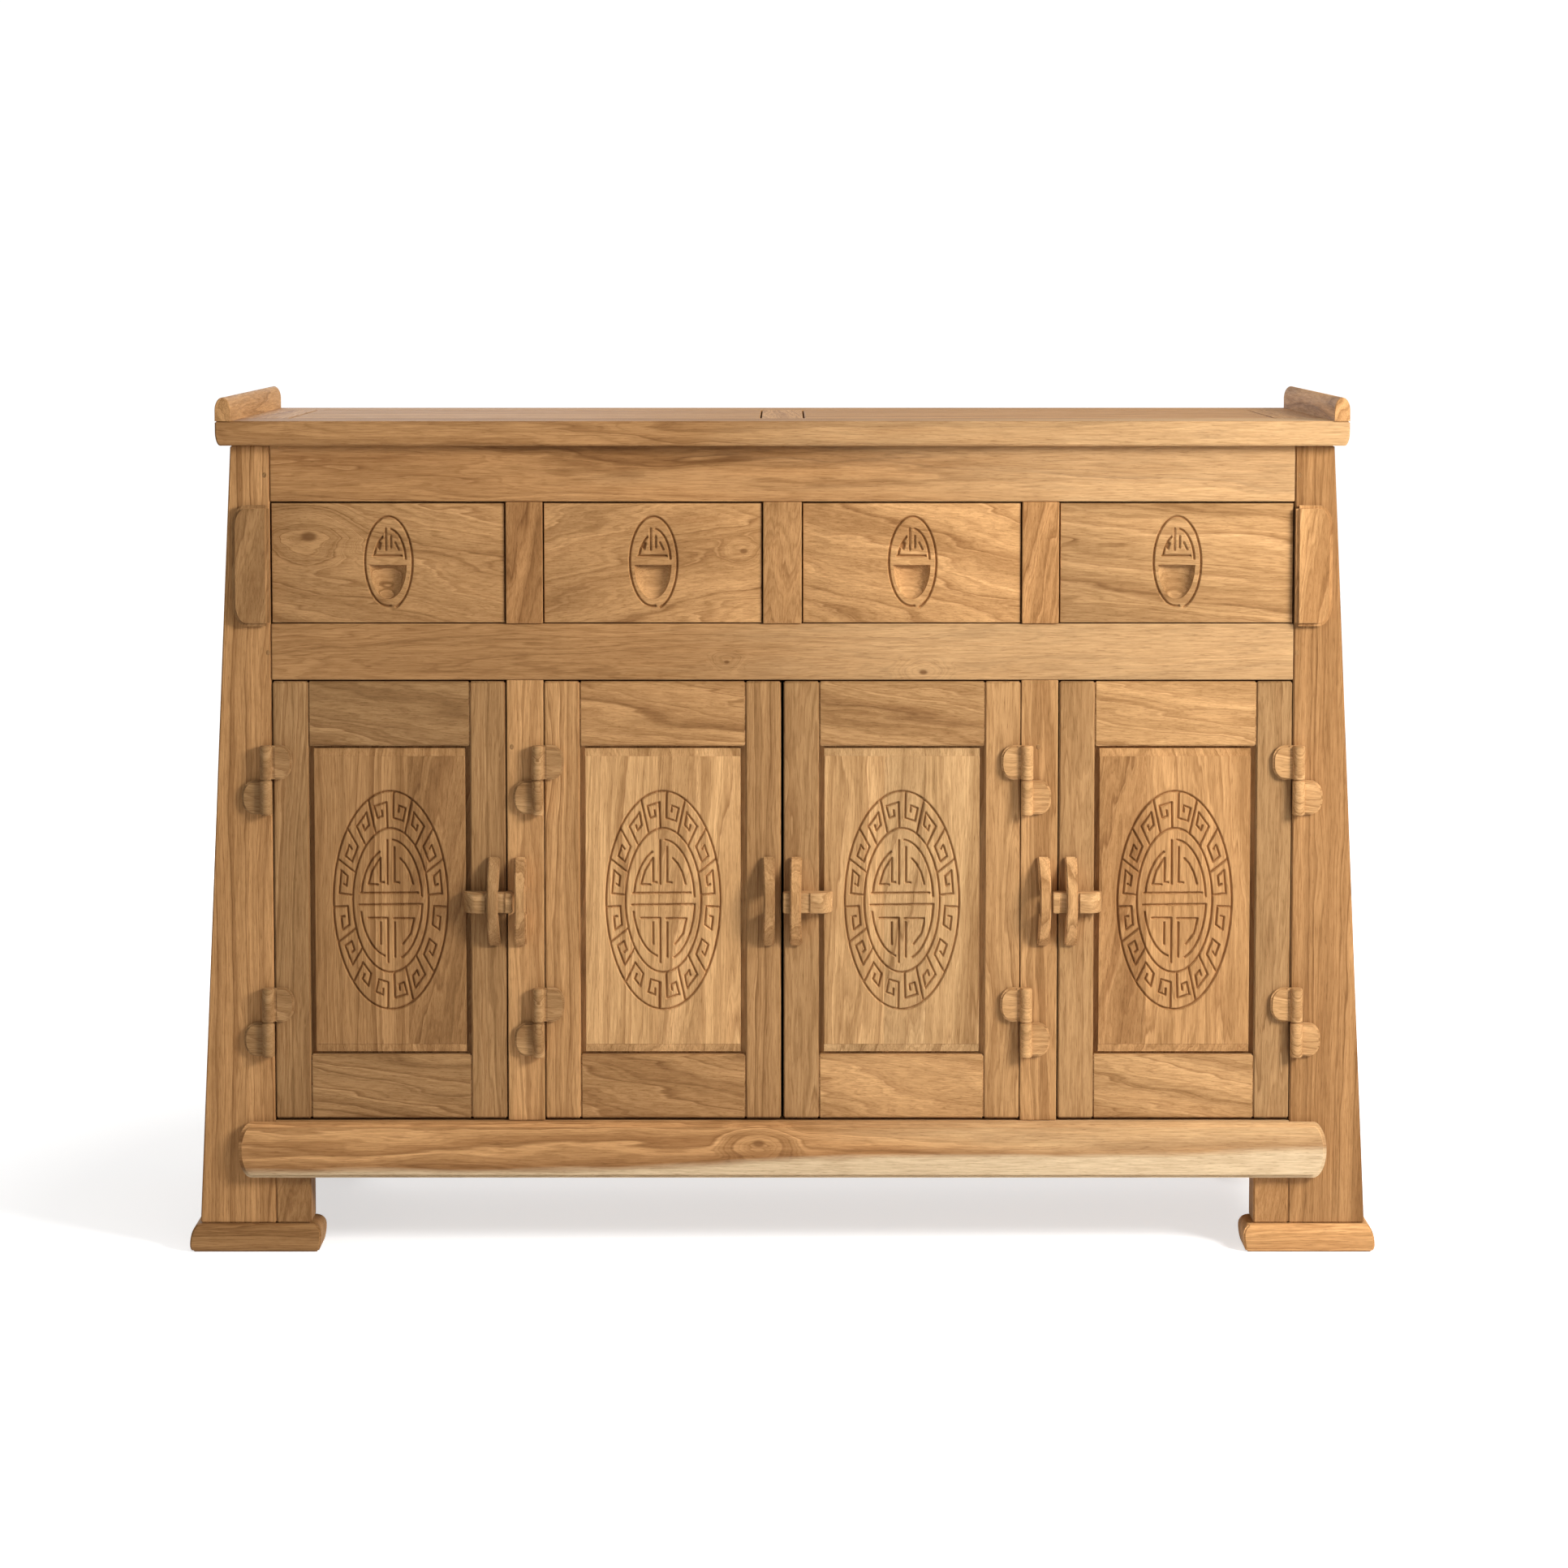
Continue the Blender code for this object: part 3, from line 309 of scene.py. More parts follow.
def teak(name, grain, bright=1.0, red=1.0, seed=0, pith=(0.0, 0.09), tilt=0.0, pale_bands=(), knots=()):
    """Waxed teak with its grain along an axis.

    pith is where the heart of the tree lies, across the board and behind its face, and tilt is the slope of
    the heart along the board, which draws the arches of the figure. pale_bands are bands of paler wood, some
    of them partly painted light where the lamp falls stronger: each a direction, the place along it where
    the band starts, the width over which it comes in, and its strength and colour. knots are (x, z, size).
    """
    material = bpy.data.materials.new(f"teak_{name}")
    wood = Graph(material)
    shader = wood.nodes["Principled BSDF"]
    tone = [c * f for c, f in zip(TEAK, (bright * red, bright, bright / red))]

    place = wood.add("TexCoord").outputs["Object"]
    turned = wood.add("Mapping", place, (0, 0, 0), GRAIN_TURN[grain]).outputs[0]
    heart = (seed * 1.37, pith[1], pith[0])
    slope = math.radians(tilt)
    stretch = (GRAIN_STRETCH, 1, 1)
    turn = (0, slope / 2, slope)
    along = wood.add("Mapping", turned, heart, turn, stretch, vector_type="TEXTURE").outputs[0]
    longer = wood.vector("MULTIPLY", along, FIBRE_STRETCH)

    bend = wood.vector("SUBTRACT", wood.noise(along, BEND_SCALE, output="Color"), (0.5, 0.5, 0.5))
    bent = wood.vector("MULTIPLY_ADD", bend, BEND_REACH, along)
    radius = wood.vector("LENGTH", wood.vector("MULTIPLY", bent, (0, 1, 1)))
    for scale, reach in WAVES:
        radius = wood.math("MULTIPLY_ADD", wood.noise(along, scale), reach, radius)
    cores = []
    for x, z, size in knots:
        offset = wood.vector("MULTIPLY", wood.vector("SUBTRACT", place, (x, 0, z)), KNOT_STRETCH[grain])
        away = wood.vector("LENGTH", offset)
        swell = wood.span(away, KNOT_SWELL[0] * size, 0.0, smooth=True)
        radius = wood.math("MULTIPLY_ADD", swell, KNOT_SWELL[1] * size, radius)
        start, full, strength = KNOT_CORE
        cores.append(wood.span(away, start * size, full * size, 0.0, strength, smooth=True))

    drift = wood.noise(radius, YEAR_DRIFT[0])
    years = wood.math("MULTIPLY_ADD", drift, YEAR_DRIFT[1], wood.math("MULTIPLY", radius, RINGS))
    year = wood.ramp(wood.math("FRACT", years), YEAR)
    drawn = wood.span(wood.noise(along, *YEAR_PATCHES), *YEAR_STRENGTH)
    lines = wood.layer(radius, LINES)
    fibres = wood.layer(longer, FIBRES)
    pores = wood.layer(longer, PORES)
    colour = wood.mix("MULTIPLY", BANDS.strength, (*tone, 1.0), wood.layer(radius, BANDS))
    colour = wood.mix("MULTIPLY", CLOUDS.strength, colour, wood.layer(along, CLOUDS))
    colour = wood.mix("MULTIPLY", drawn, colour, year)
    colour = wood.mix("MULTIPLY", LINES.strength, colour, lines)
    # pale bands: sapwood, and paler wood with painted light towards a rail's brighter right end
    for direction, start, width, strength, pale_tone in pale_bands:
        reach = max(abs(width), PALE_BAND_WANDER)
        wander = wood.math("MULTIPLY_ADD", wood.noise(along, *PALE_BAND_WAVES), 2 * reach, -reach)
        depth = wood.math("ADD", wood.vector("DOT_PRODUCT", place, direction), wander)
        first, full, share = PALE_BAND_BORDER_PLACE
        border = wood.span(depth, start - first * width, start - full * width, 0.0, share * strength**2)
        colour = wood.mix("MULTIPLY", border, colour, PALE_BAND_BORDER)
        pale = wood.span(depth, start, start + width, 0.0, strength)
        colour = wood.mix("MIX", pale, colour, (*pale_tone, 1.0))
    colour = wood.mix("MULTIPLY", FIBRES.strength, colour, fibres)
    colour = wood.mix("MULTIPLY", PORES.strength, colour, pores)
    for core in cores:
        colour = wood.mix("MIX", core, colour, (*[c * k for c, k in zip(tone, KNOT)], 1.0))
    # painted shade at the bottom of the carved lines, fading up their sides
    carved = wood.add("Attribute", attribute_name="carved").outputs["Fac"]
    colour = wood.mix("MULTIPLY", wood.math("POWER", carved, PAINTED_CUT_SHADE_FALL), colour, PAINTED_CUT_SHADE)

    rough = wood.span(fibres, *FIBRE_RANGE, *ROUGHNESS)
    wood.fill(shader, {"Base Color": colour, "Roughness": rough, "Specular IOR Level": SHEEN})
    relief = wood.add("Bump")
    height = wood.mix("MULTIPLY", RELIEF_LINES, pores, lines)
    wood.fill(relief, {"Strength": RELIEF_STRENGTH, "Distance": RELIEF_DEPTH, "Height": height})
    wood.fill(shader, {"Normal": relief.outputs[0]})
    return material


def dress(node, material):
    """Gives a CAD node that keeps its shape a material of its own."""
    slots = frame["nodes"][node].data.materials
    slots.clear()
    slots.append(material)


# Carving


def polyline(points):
    return list(zip(points, points[1:]))


def ellipse_line(radii, start, end, steps=40):
    return polyline(arc((0.0, 0.0), radii, start, end, steps))


# One pair of cells of the Greek key, as lines of (degrees on from its first bar, share of the radius)
KEY_LINES = (
    ((0, 0.985), (0, 0.67)),
    ((18.3, 0.67), (18.5, 0.90), (4.8, 0.905), (6.0, 0.785), (12.6, 0.785), (12.2, 0.835)),
    ((26.0, 0.985), (26.6, 0.755), (39.6, 0.760), (40.2, 0.885), (32.4, 0.880), (32.6, 0.825)),
)
KEY_MIRRORED = (False, False, False, True, False, True, True, True)


def key_pair(first_angle, mirrored):
    """Two cells of the key round the medallion, as lines in its unit circle."""
    segments = []
    for line in KEY_LINES:
        points = []
        for turn, radius in line:
            turn = 360 / len(KEY_MIRRORED) - turn if mirrored else turn
            angle = math.radians(first_angle - turn)
            points.append((radius * math.cos(angle), radius * math.sin(angle)))
        segments += polyline(points)
    return segments


def medallion_lines():
    """The carved lines of a door's medallion: a long-life roundel inside a Greek key, in its unit circle."""
    lines = ellipse_line((1, 1), 0, 360, steps=120)
    for pair, mirrored in enumerate(KEY_MIRRORED):
        lines += key_pair(112.5 - pair * 360 / len(KEY_MIRRORED), mirrored)
    lines += ellipse_line((0.66, 0.66), 0, 360, steps=100)
    lines += ellipse_line((0.515, 0.48), 112, 172)
    lines += ellipse_line((0.545, 0.555), 86, 4)
    lines += ellipse_line((0.55, 0.555), -4, -70)
    lines += ellipse_line((0.53, 0.52), 192, 258)
    strokes = [
        [(-0.53, 0.066), (0.48, 0.070)],
        [(-0.55, -0.042), (0.55, -0.035)],
        [(-0.053, 0.55), (-0.053, 0.152)],
        [(0.069, 0.487), (0.069, 0.164), (0.145, 0.164)],
        [(-0.21, 0.366), (-0.177, 0.387), (-0.177, 0.166), (-0.111, 0.166)],
        [(0.172, 0.383), (0.255, 0.335), (0.335, 0.255), (0.391, 0.152)],
        [(-0.217, 0.366), (-0.323, 0.271), (-0.389, 0.148), (-0.23, 0.145)],
        [(-0.389, -0.162), (-0.053, -0.162), (-0.053, -0.567)],
        [(0.053, -0.166), (0.405, -0.166), (0.345, -0.302), (0.206, -0.399)],
        [(0.069, -0.204), (0.069, -0.518)],
        [(-0.177, -0.204), (-0.177, -0.399)],
    ]
    for stroke in strokes:
        lines += polyline(stroke)
    return lines


def spiral_line(start, end, first, last, steps=80):
    """A carved line round an ellipse that draws in from one share of its radius to another."""
    circle = arc((0.0, 0.0), (1, 1), start, end, steps)
    radii = np.linspace(first, last, steps + 1)
    return polyline([(radius * x, radius * z) for radius, (x, z) in zip(radii, circle)])


def pull_lines():
    """The carved lines of a drawer's pull: a ring left open at its foot, and the upper half of a roundel."""
    lines = spiral_line(-72, 276, 1.04, 0.97)
    lines += ellipse_line((0.74, 0.74), 81, 6)
    lines += ellipse_line((0.605, 0.605), 112, 164)
    strokes = [
        [(-0.098, 0.736), (-0.098, 0.276)],
        [(0.118, 0.573), (0.118, 0.327)],
        [(0.295, 0.43), (0.433, 0.286)],
        [(-0.315, 0.419), (-0.374, 0.297)],
        [(-0.63, 0.143), (0.59, 0.143)],
    ]
    for stroke in strokes:
        lines += polyline(stroke)
    return lines


def stroke_distance(points, lines, axes):
    """Distance of points from carved lines, which are given in the unit circle of an ellipse."""
    nearest = np.full(len(points), np.inf)
    for (x0, z0), (x1, z1) in lines:
        start = np.array((x0 * axes[0], z0 * axes[1]))
        run = np.array((x1 * axes[0], z1 * axes[1])) - start
        low, high = np.minimum(0, run) - FAR, np.maximum(0, run) + FAR
        offset = points - start
        close = np.flatnonzero(((offset > low) & (offset < high)).all(axis=1))
        offset = offset[close]
        share = np.clip(offset @ run / max(run @ run, 1e-12), 0, 1)
        nearest[close] = np.minimum(nearest[close], np.hypot(*(offset - share[:, None] * run).T))
    return nearest


def outlines(field, xs, zs, level):
    """Closed outlines of a field of values on a grid at a level, by marching squares."""
    inside = field < level
    crossings = {}

    def crossing(a, b):
        va, vb = field[a], field[b]
        t = (level - va) / (vb - va)
        return (xs[a[1]] + t * (xs[b[1]] - xs[a[1]]), zs[a[0]] + t * (zs[b[0]] - zs[a[0]]))

    mixed = inside[:-1, :-1].astype(int) + inside[:-1, 1:] + inside[1:, :-1] + inside[1:, 1:]
    for i, j in np.argwhere((mixed > 0) & (mixed < 4)):
        corners = [(i, j), (i, j + 1), (i + 1, j + 1), (i + 1, j)]
        edges = zip(corners, corners[1:] + corners[:1])
        keys = [tuple(sorted(edge)) for edge in edges if inside[edge[0]] != inside[edge[1]]]
        if len(keys) == 2:
            pairs = [(0, 1)]
        elif inside[corners[1]]:
            pairs = [(0, 1), (2, 3)]
        else:
            pairs = [(3, 0), (1, 2)]
        for a, b in pairs:
            crossings.setdefault(keys[a], []).append(keys[b])
            crossings.setdefault(keys[b], []).append(keys[a])
    loops = []
    while crossings:
        first = key = next(iter(crossings))
        loop = []
        while key in crossings:
            loop.append(key)
            steps = crossings.pop(key)
            key = next((step for step in steps if step in crossings), first)
        loops.append(simplified([crossing(*key) for key in loop]))
    return [loop for loop in loops if len(loop) > 2]


def simplified(loop):
    """A closed outline without the points that lie on a straight line with their neighbours."""
    points = np.array(loop + loop[:1])
    kept = {0, len(loop) // 2, len(loop)}
    spans = [(0, len(loop) // 2), (len(loop) // 2, len(loop))]
    while spans:
        a, b = spans.pop()
        if b - a < 2:
            continue
        run = points[b] - points[a]
        offset = points[a + 1 : b] - points[a]
        length = max(np.hypot(*run), 1e-9)
        away = np.abs(offset[:, 0] * run[1] - offset[:, 1] * run[0]) / length
        far = int(away.argmax())
        if away[far] > OUTLINE_TOLERANCE:
            kept.add(a + 1 + far)
            spans += [(a, a + 1 + far), (a + 1 + far, b)]
    return [tuple(points[i]) for i in sorted(kept) if i < len(loop)]


def stroke_outlines(lines, axes):
    """Outlines of carved lines at the face, about their own centre."""
    reach = [a + FIELD_MARGIN for a in axes]
    xs, zs = [np.arange(-r, r + FIELD_STEP, FIELD_STEP) for r in reach]
    grid_x, grid_z = np.meshgrid(xs, zs)
    points = np.column_stack((grid_x.ravel(), grid_z.ravel()))
    field = np.minimum(stroke_distance(points, lines, axes), FAR).reshape(grid_x.shape)
    return outlines(field, xs, zs, GROOVE)


def placed(lines, middle, axes=(1.0, 1.0)):
    """Lines or outlines carried from a unit circle, or from their own centre, to their place on a board."""
    return [[(x * axes[0] + middle[0], z * axes[1] + middle[1]) for x, z in line] for line in lines]


def cut_depth(points, lines, axes):
    """Depth of V-cuts along carved lines, at points about their centre."""
    return GROOVE_DEPTH * np.clip(1 - stroke_distance(points, lines, axes) / GROOVE, 0, 1)


def rectangle(x, z, inset=0.0):
    x0, x1, z0, z1 = x[0] + inset, x[1] - inset, z[0] + inset, z[1] - inset
    return [(x0, z0), (x1, z0), (x1, z1), (x0, z1)]


def carved_mesh(x, z, face_y, loops, cuts, depth, rounding, behind):
    """A board's face with carving, closed behind.

    The face is triangulated with the closed loops and open cuts as edges, and each of its points is set back
    by depth(points). behind lists the rectangles, as (x range, z range, y), that close the board.
    """
    rims = [rectangle(x, z), rectangle(x, z, rounding * RIM_SHARE), rectangle(x, z, rounding)]
    closed = rims + loops
    points, edges = [], []
    for i, line in enumerate(closed + cuts):
        first = len(points)
        points += line
        edges += [(first + k, first + k + 1) for k in range(len(line) - 1)]
        if i < len(closed):
            edges.append((first + len(line) - 1, first))
    flat = geometry.delaunay_2d_cdt([Vector(p) for p in points], edges, [], 0, WELD)
    spots = np.array([(p.x, p.y) for p in flat[0]])
    across, up = spots.T
    inset = np.minimum.reduce([across - x[0], x[1] - across, up - z[0], z[1] - up])
    worn = np.maximum(rounding - inset, 0)
    drop = np.maximum(depth(spots), rounding - np.sqrt(np.maximum(rounding**2 - worn**2, 0)))
    mesh = bmesh.new()
    verts = [mesh.verts.new((px, face_y + d, pz)) for (px, pz), d in zip(spots, drop)]
    for face in flat[2]:
        mesh.faces.new([verts[i] for i in face])
    corners = [min(verts, key=lambda v: (v.co.x - cx) ** 2 + (v.co.z - cz) ** 2) for cx, cz in rims[0]]
    rim = walk_rim(corners)
    shares = [((v.co.x - x[0]) / (x[1] - x[0]), (v.co.z - z[0]) / (z[1] - z[0])) for v in rim]
    for x_range, z_range, y in behind:
        spans = (x_range[1] - x_range[0], z_range[1] - z_range[0])
        ring = [mesh.verts.new((x_range[0] + u * spans[0], y, z_range[0] + w * spans[1])) for u, w in shares]
        for i in range(len(rim)):
            j = (i + 1) % len(rim)
            mesh.faces.new((rim[i], rim[j], ring[j], ring[i]))
        rim = ring
    mesh.faces.new(rim)
    return mesh


def walk_rim(corners):
    """The vertices on the open edge of a mesh, in order from its first corner."""
    rim, last = [corners[0]], None
    while len(rim) < 2 or rim[-1] is not corners[0]:
        edges = [edge for edge in rim[-1].link_edges if edge.is_boundary and edge is not last]
        last = edges[0]
        rim.append(last.other_vert(rim[-1]))
    return rim[:-1]


def mark_carving(piece, middle, lines, axes):
    """Keeps how near each point of a carved piece lies to a line's bottom, for the painted shade in its
    cuts.
    """
    data = piece.data
    face = min(vert.co.y for vert in data.vertices)
    values = data.attributes.new("carved", "FLOAT", "POINT").data
    points = np.array([(vert.co.x - middle[0], vert.co.z - middle[1]) for vert in data.vertices])
    away = stroke_distance(points, lines, axes)
    for vert, value, distance in zip(data.vertices, values, away):
        value.value = max(0.0, 1 - distance / GROOVE) if vert.co.y - face < 3 * GROOVE_DEPTH else 0.0


MEDALLION_LINES = medallion_lines()
MEDALLION_OUTLINES = stroke_outlines(MEDALLION_LINES, MEDALLION)
PULL_LINES = pull_lines()
PULL_OUTLINES = stroke_outlines(PULL_LINES, PULL)


# Carcass

POST_DEPTH = 0.045
EAR_INSET = (0.0010, 0.002)  # of an ear from the rails' ends and from the post's edge
EAR_REACH = (0.0035, 0.002)  # of an ear below the drawers' foot, and short of their head
EAR_CORNER = (0.016, 0.026)
EAR_ROOT = 0.001
EAR_EASE = 0.004
FOOT_OVERHANG = (0.0125, 0.008)  # across, and to the front and back
FOOT_CRESTS = (0.22, 0.62, 0.40)  # share of the height where a foot is fullest: outside, inside, in front
FOOT_TUCK = 0.25  # share of the overhang that is drawn in at the floor
FOOT_LEDGE = 0.12  # share of it left at the top
FOOT_STEPS = 16
FOOT_EASE = 0.002
RAIL_END = 0.0155  # how far the bottom rail's ends bulge
RAIL_EASE = 0.0045
SIDE_INSET = 0.003  # of the framed sides behind the posts' outer faces
SIDE_THICKNESS = 0.022
SIDE_RECESS = 0.008
SIDE_RAIL = 0.070
SIDE_BOARDS = 3
BACK_BOARD = 0.062  # width of the back's stiles, rails and bars
BACK_RECESS = 0.008
BACK_COLUMNS = 3


def edge_at(node, side, z, reach=0.004):
    """The outer edge of a CAD node, at a height where it has points."""
    points = [v.co for v in frame["nodes"][node].data.vertices if abs(v.co.z - z) < reach]
    return max(side * p.x for p in points)


# How bright each side's post, leg block and ear are, and how red
POST_TONES = {"left": (0.92, 0.68, 0.69, 1.02), "right": (0.68, 0.76, 1.0, 1.04)}


def add_posts():
    """Tapered posts, each with the block glued beside its leg, and ears on the front ones."""
    for row in ("front", "back"):
        for name, side in SIDES:
            bright, block_bright, ear_bright, red = POST_TONES[name]
            node = f"{row}_post_{name}"
            low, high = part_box(node)
            depth = (FACE_Y, FACE_Y + POST_DEPTH) if row == "front" else (high.y - POST_DEPTH, high.y)
            inner, block_x = RAIL_X + FIT, min(abs(low.x), abs(high.x))
            rail_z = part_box("bottom_rail")[0].z - FIT
            foot_x, top_x = edge_at(node, side, low.z), edge_at(node, side, high.z)
            outline = [(inner + FIT, low.z), (foot_x, low.z), (top_x, high.z), (inner + FIT, high.z)]
            mesh = prism([(side * x, z) for x, z in outline], "Y", *depth)
            ease_edges(mesh, EDGE_EASE)
            wood = teak(node, "Z", bright, red, 3 + side, (side * 0.70, 0.06), 1.2)
            add_piece(node + "_board", mesh, "carcass", wood, node)
            look = ("Z", block_bright, red, 8 + side, (-side * 0.585, -0.14), 7.0)
            x = (side * block_x, side * inner)
            add_board(node + "_leg_block", x, depth, (low.z, rail_z), "carcass", node, look, EDGE_EASE)
            if row == "front":
                add_ear(name, side, node, ear_bright)


def add_ear(name, side, node, bright):
    """The raised block beside the drawers, rounded like a worn bar of soap."""
    low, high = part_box("drawer_1_front")
    post_low, post_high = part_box(node)
    root = side * (RAIL_X + EAR_INSET[0])
    tip = side * (edge_at(node, side, post_high.z) - EAR_INSET[1])
    outline = leaf_outline(root, tip, low.z - EAR_REACH[0], high.z - EAR_REACH[1], EAR_CORNER)
    mesh = prism(outline, "Y", post_low.y, FACE_Y + EAR_ROOT)
    ease_edges(mesh, EAR_EASE, 5)
    wood = teak("ear_" + name, "Z", bright, seed=20 + side, pith=(-side * 0.625, -0.17), tilt=5)
    add_piece("ear_" + name, mesh, "carcass", wood, node)


def add_feet():
    """Moulded feet: swelling ends, a sloped shoulder and a small step round the leg."""
    for row in ("front", "back"):
        for name, side, bright in (("left", -1, 0.79), ("right", 1, 1.19)):
            node = f"{row}_foot_{name}"
            low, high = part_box(node)
            x0, x1 = sorted((abs(low.x), abs(high.x)))
            across, along = FOOT_OVERHANG
            rings = []
            for i in range(FOOT_STEPS + 1):
                t = i / FOOT_STEPS
                outer, inner, front = [foot_swell(t, crest) for crest in FOOT_CRESTS]
                a, b = x0 + across - across * inner, x1 - across + across * outer
                c, d = low.y + along - along * front, high.y - along + along * front
                rings.append([(side * x, y, t * high.z) for x, y in ((a, c), (b, c), (b, d), (a, d))])
            mesh = loft(rings)
            ease_edges(mesh, FOOT_EASE, 3, 50)
            wood = teak(node, "X", bright, seed=30 + side, pith=(0.05, 0.08), tilt=0.8)
            add_piece(node + "_moulding", mesh, "carcass", wood, node)


def foot_swell(share, crest):
    """How full a foot's moulding is at a share of its height."""
    if share < crest:
        return 1 - FOOT_TUCK * ((crest - share) / crest) ** 2
    return FOOT_LEDGE + (1 - FOOT_LEDGE) * math.sqrt(1 - ((share - crest) / (1 - crest)) ** 2)


def add_bottom_rail():
    """The thick rail under the doors, which laps over the posts with rounded ends."""
    low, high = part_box("bottom_rail")
    middle, half = (low.z + high.z) / 2, (high.z - low.z) / 2
    right = arc((high.x - RAIL_END, middle), (RAIL_END, half), -90, 90, 24)
    outline = right + [(-x, z) for x, z in reversed(right)]
    mesh = prism(outline, "Y", low.y, FACE_Y - FIT)
    ease_edges(mesh, RAIL_EASE, 5, 50)
    tongue = block((-RAIL_X, RAIL_X), (FACE_Y - 2 * FIT, high.y), (low.z, high.z))
    # the first band pales the rail towards its right end, partly paler wood and partly painted light; the
    # second is its sapwood
    pale_bands = [((1, 0, 0), 0.05, 0.40, 0.58, PALE_AND_LIT), ((-0.024, 0, 1), 0.115, -0.008, 1.0, SAPWOOD)]
    knots = [(-0.028, 0.132, 0.009)]
    wood = teak("bottom_rail", "X", 1.04, 1.0, 43, (0.20, -0.15), 0.6, pale_bands, knots)
    add_piece("bottom_rail_board", join(mesh, tongue), "carcass", wood, "bottom_rail")


# Pegs of the frame: how much taller than wide, their rings as (radius, depth), and where they show
PEG_OVAL = 1.3
PEG_RINGS = ((0.0024, 0.004), (0.0024, -0.0001), (0.0017, -0.0006))
PEGS = ((-0.604, 0.919), (-0.6015, 0.711), (-0.317, 0.600), (0.604, 0.919), (0.602, 0.711), (0.300, 0.600))


def add_pegs():
    """Ends of the wooden pegs that hold the frame's joints."""
    wood = teak("peg", "Y", 0.62, seed=12, pith=(0.5, 0.1))
    for i, (x, z) in enumerate(PEGS):
        rings = []
        for radius, depth in PEG_RINGS:
            ring = arc((x, z), (radius, radius * PEG_OVAL), 0, 360, 16)[:-1]
            rings.append([(px, FACE_Y + depth, pz) for px, pz in ring])
        add_piece(f"peg_{i + 1}", loft(rings), "carcass", wood)


# Upright bars between the drawers and posts between the doors: place across, how bright, and how red
DRAWER_BARS = {"left": (-0.30, 0.64, 1.08), "centre": (0.0, 0.81, 1.02), "right": (0.30, 0.78, 1.06)}
DOOR_POSTS = {"left": (-0.30, 1.04, 0.99), "right": (0.30, 0.94, 0.99)}


def dress_carcass():
    """Materials of the rails, bars and boards that keep their CAD shape."""
    # the frieze pales towards its right end: partly paler wood, partly painted light where the lamp falls
    # stronger
    pale_bands = [((1, 0, 0), -0.10, 0.45, 0.42, PALE_AND_LIT)]
    dress("frieze_rail", teak("frieze", "X", 0.82, 1.03, 41, (0.80, -0.12), 0.6, pale_bands))
    # the middle rail pales towards its right end: partly paler wood, partly painted light where the lamp
    # falls stronger
    pale_bands = [((1, 0, 0), -0.20, 0.50, 0.36, PALE_AND_LIT)]
    knots = [(0.165, 0.688, 0.006), (-0.065, 0.700, 0.004)]
    dress("middle_rail", teak("middle_rail", "X", 0.73, 1.02, 42, (0.62, -0.12), -0.7, pale_bands, knots))
    add_bottom_rail()
    for name, (x, bright, red) in DRAWER_BARS.items():
        node = f"drawer_bar_{name}"
        dress(node, teak(node, "Z", bright, red, x * 9, (-x + 0.03, -0.15), 6))
    for name, (x, bright, red) in DOOR_POSTS.items():
        node = f"door_post_{name}"
        dress(node, teak(node, "Z", bright, red, x * 7, (-x - 0.1, -0.10), -1.0))
    plain = teak("inside", "X", 0.9, seed=50, pith=(0.3, 0.2))
    for node in ("cupboard_floor", "drawer_deck"):
        dress(node, plain)
    for name, side in SIDES:
        add_framed_side(name, side)
    add_framed_back()


def fitted(low, high):
    """A span less the fine gap at each joint."""
    return (low + FIT / 2, high - FIT / 2)


def add_framed_side(name, side):
    """A framed side that leans with the posts: a rail above and below a sunk field of three boards."""
    node = f"side_panel_{name}"
    low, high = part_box(node)
    post = f"front_post_{name}"
    ends = [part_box(post)[0].z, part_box(post)[1].z]
    edges = [edge_at(post, side, z) - SIDE_INSET for z in ends]

    def board(piece, y, z, sunk, look):
        outline = []
        for level, inset in ((z[0], SIDE_THICKNESS), (z[0], sunk), (z[1], sunk), (z[1], SIDE_THICKNESS)):
            outline.append((side * (np.interp(level, ends, edges) - inset), level))
        mesh = prism(outline, "Y", *y)
        ease_edges(mesh, JOINT_EASE)
        add_piece(piece, mesh, "carcass", teak(piece, *look), node)

    field_z = (low.z + SIDE_RAIL, high.z - SIDE_RAIL)
    for place, z in (("bottom", (low.z, field_z[0])), ("top", (field_z[1], high.z))):
        look = ("Y", 0.92, 1.0, 54 + side, (sum(z) / 2 - 0.08, -side * 0.60), 1.5)
        board(f"side_rail_{place}_{name}", (low.y, high.y), z, 0.0, look)
    width = (high.y - low.y) / SIDE_BOARDS
    for i in range(SIDE_BOARDS):
        y = (low.y + i * width, low.y + (i + 1) * width)
        heart = (-side * 0.52, sum(y) / 2 + 0.03 * (i - 1))
        look = ("Z", 0.90 + 0.07 * i, 1.0, 56 + side + 2 * i, heart, 3 - 2 * i)
        board(f"side_board_{i + 1}_{name}", fitted(*y), fitted(*field_z), SIDE_RECESS, look)


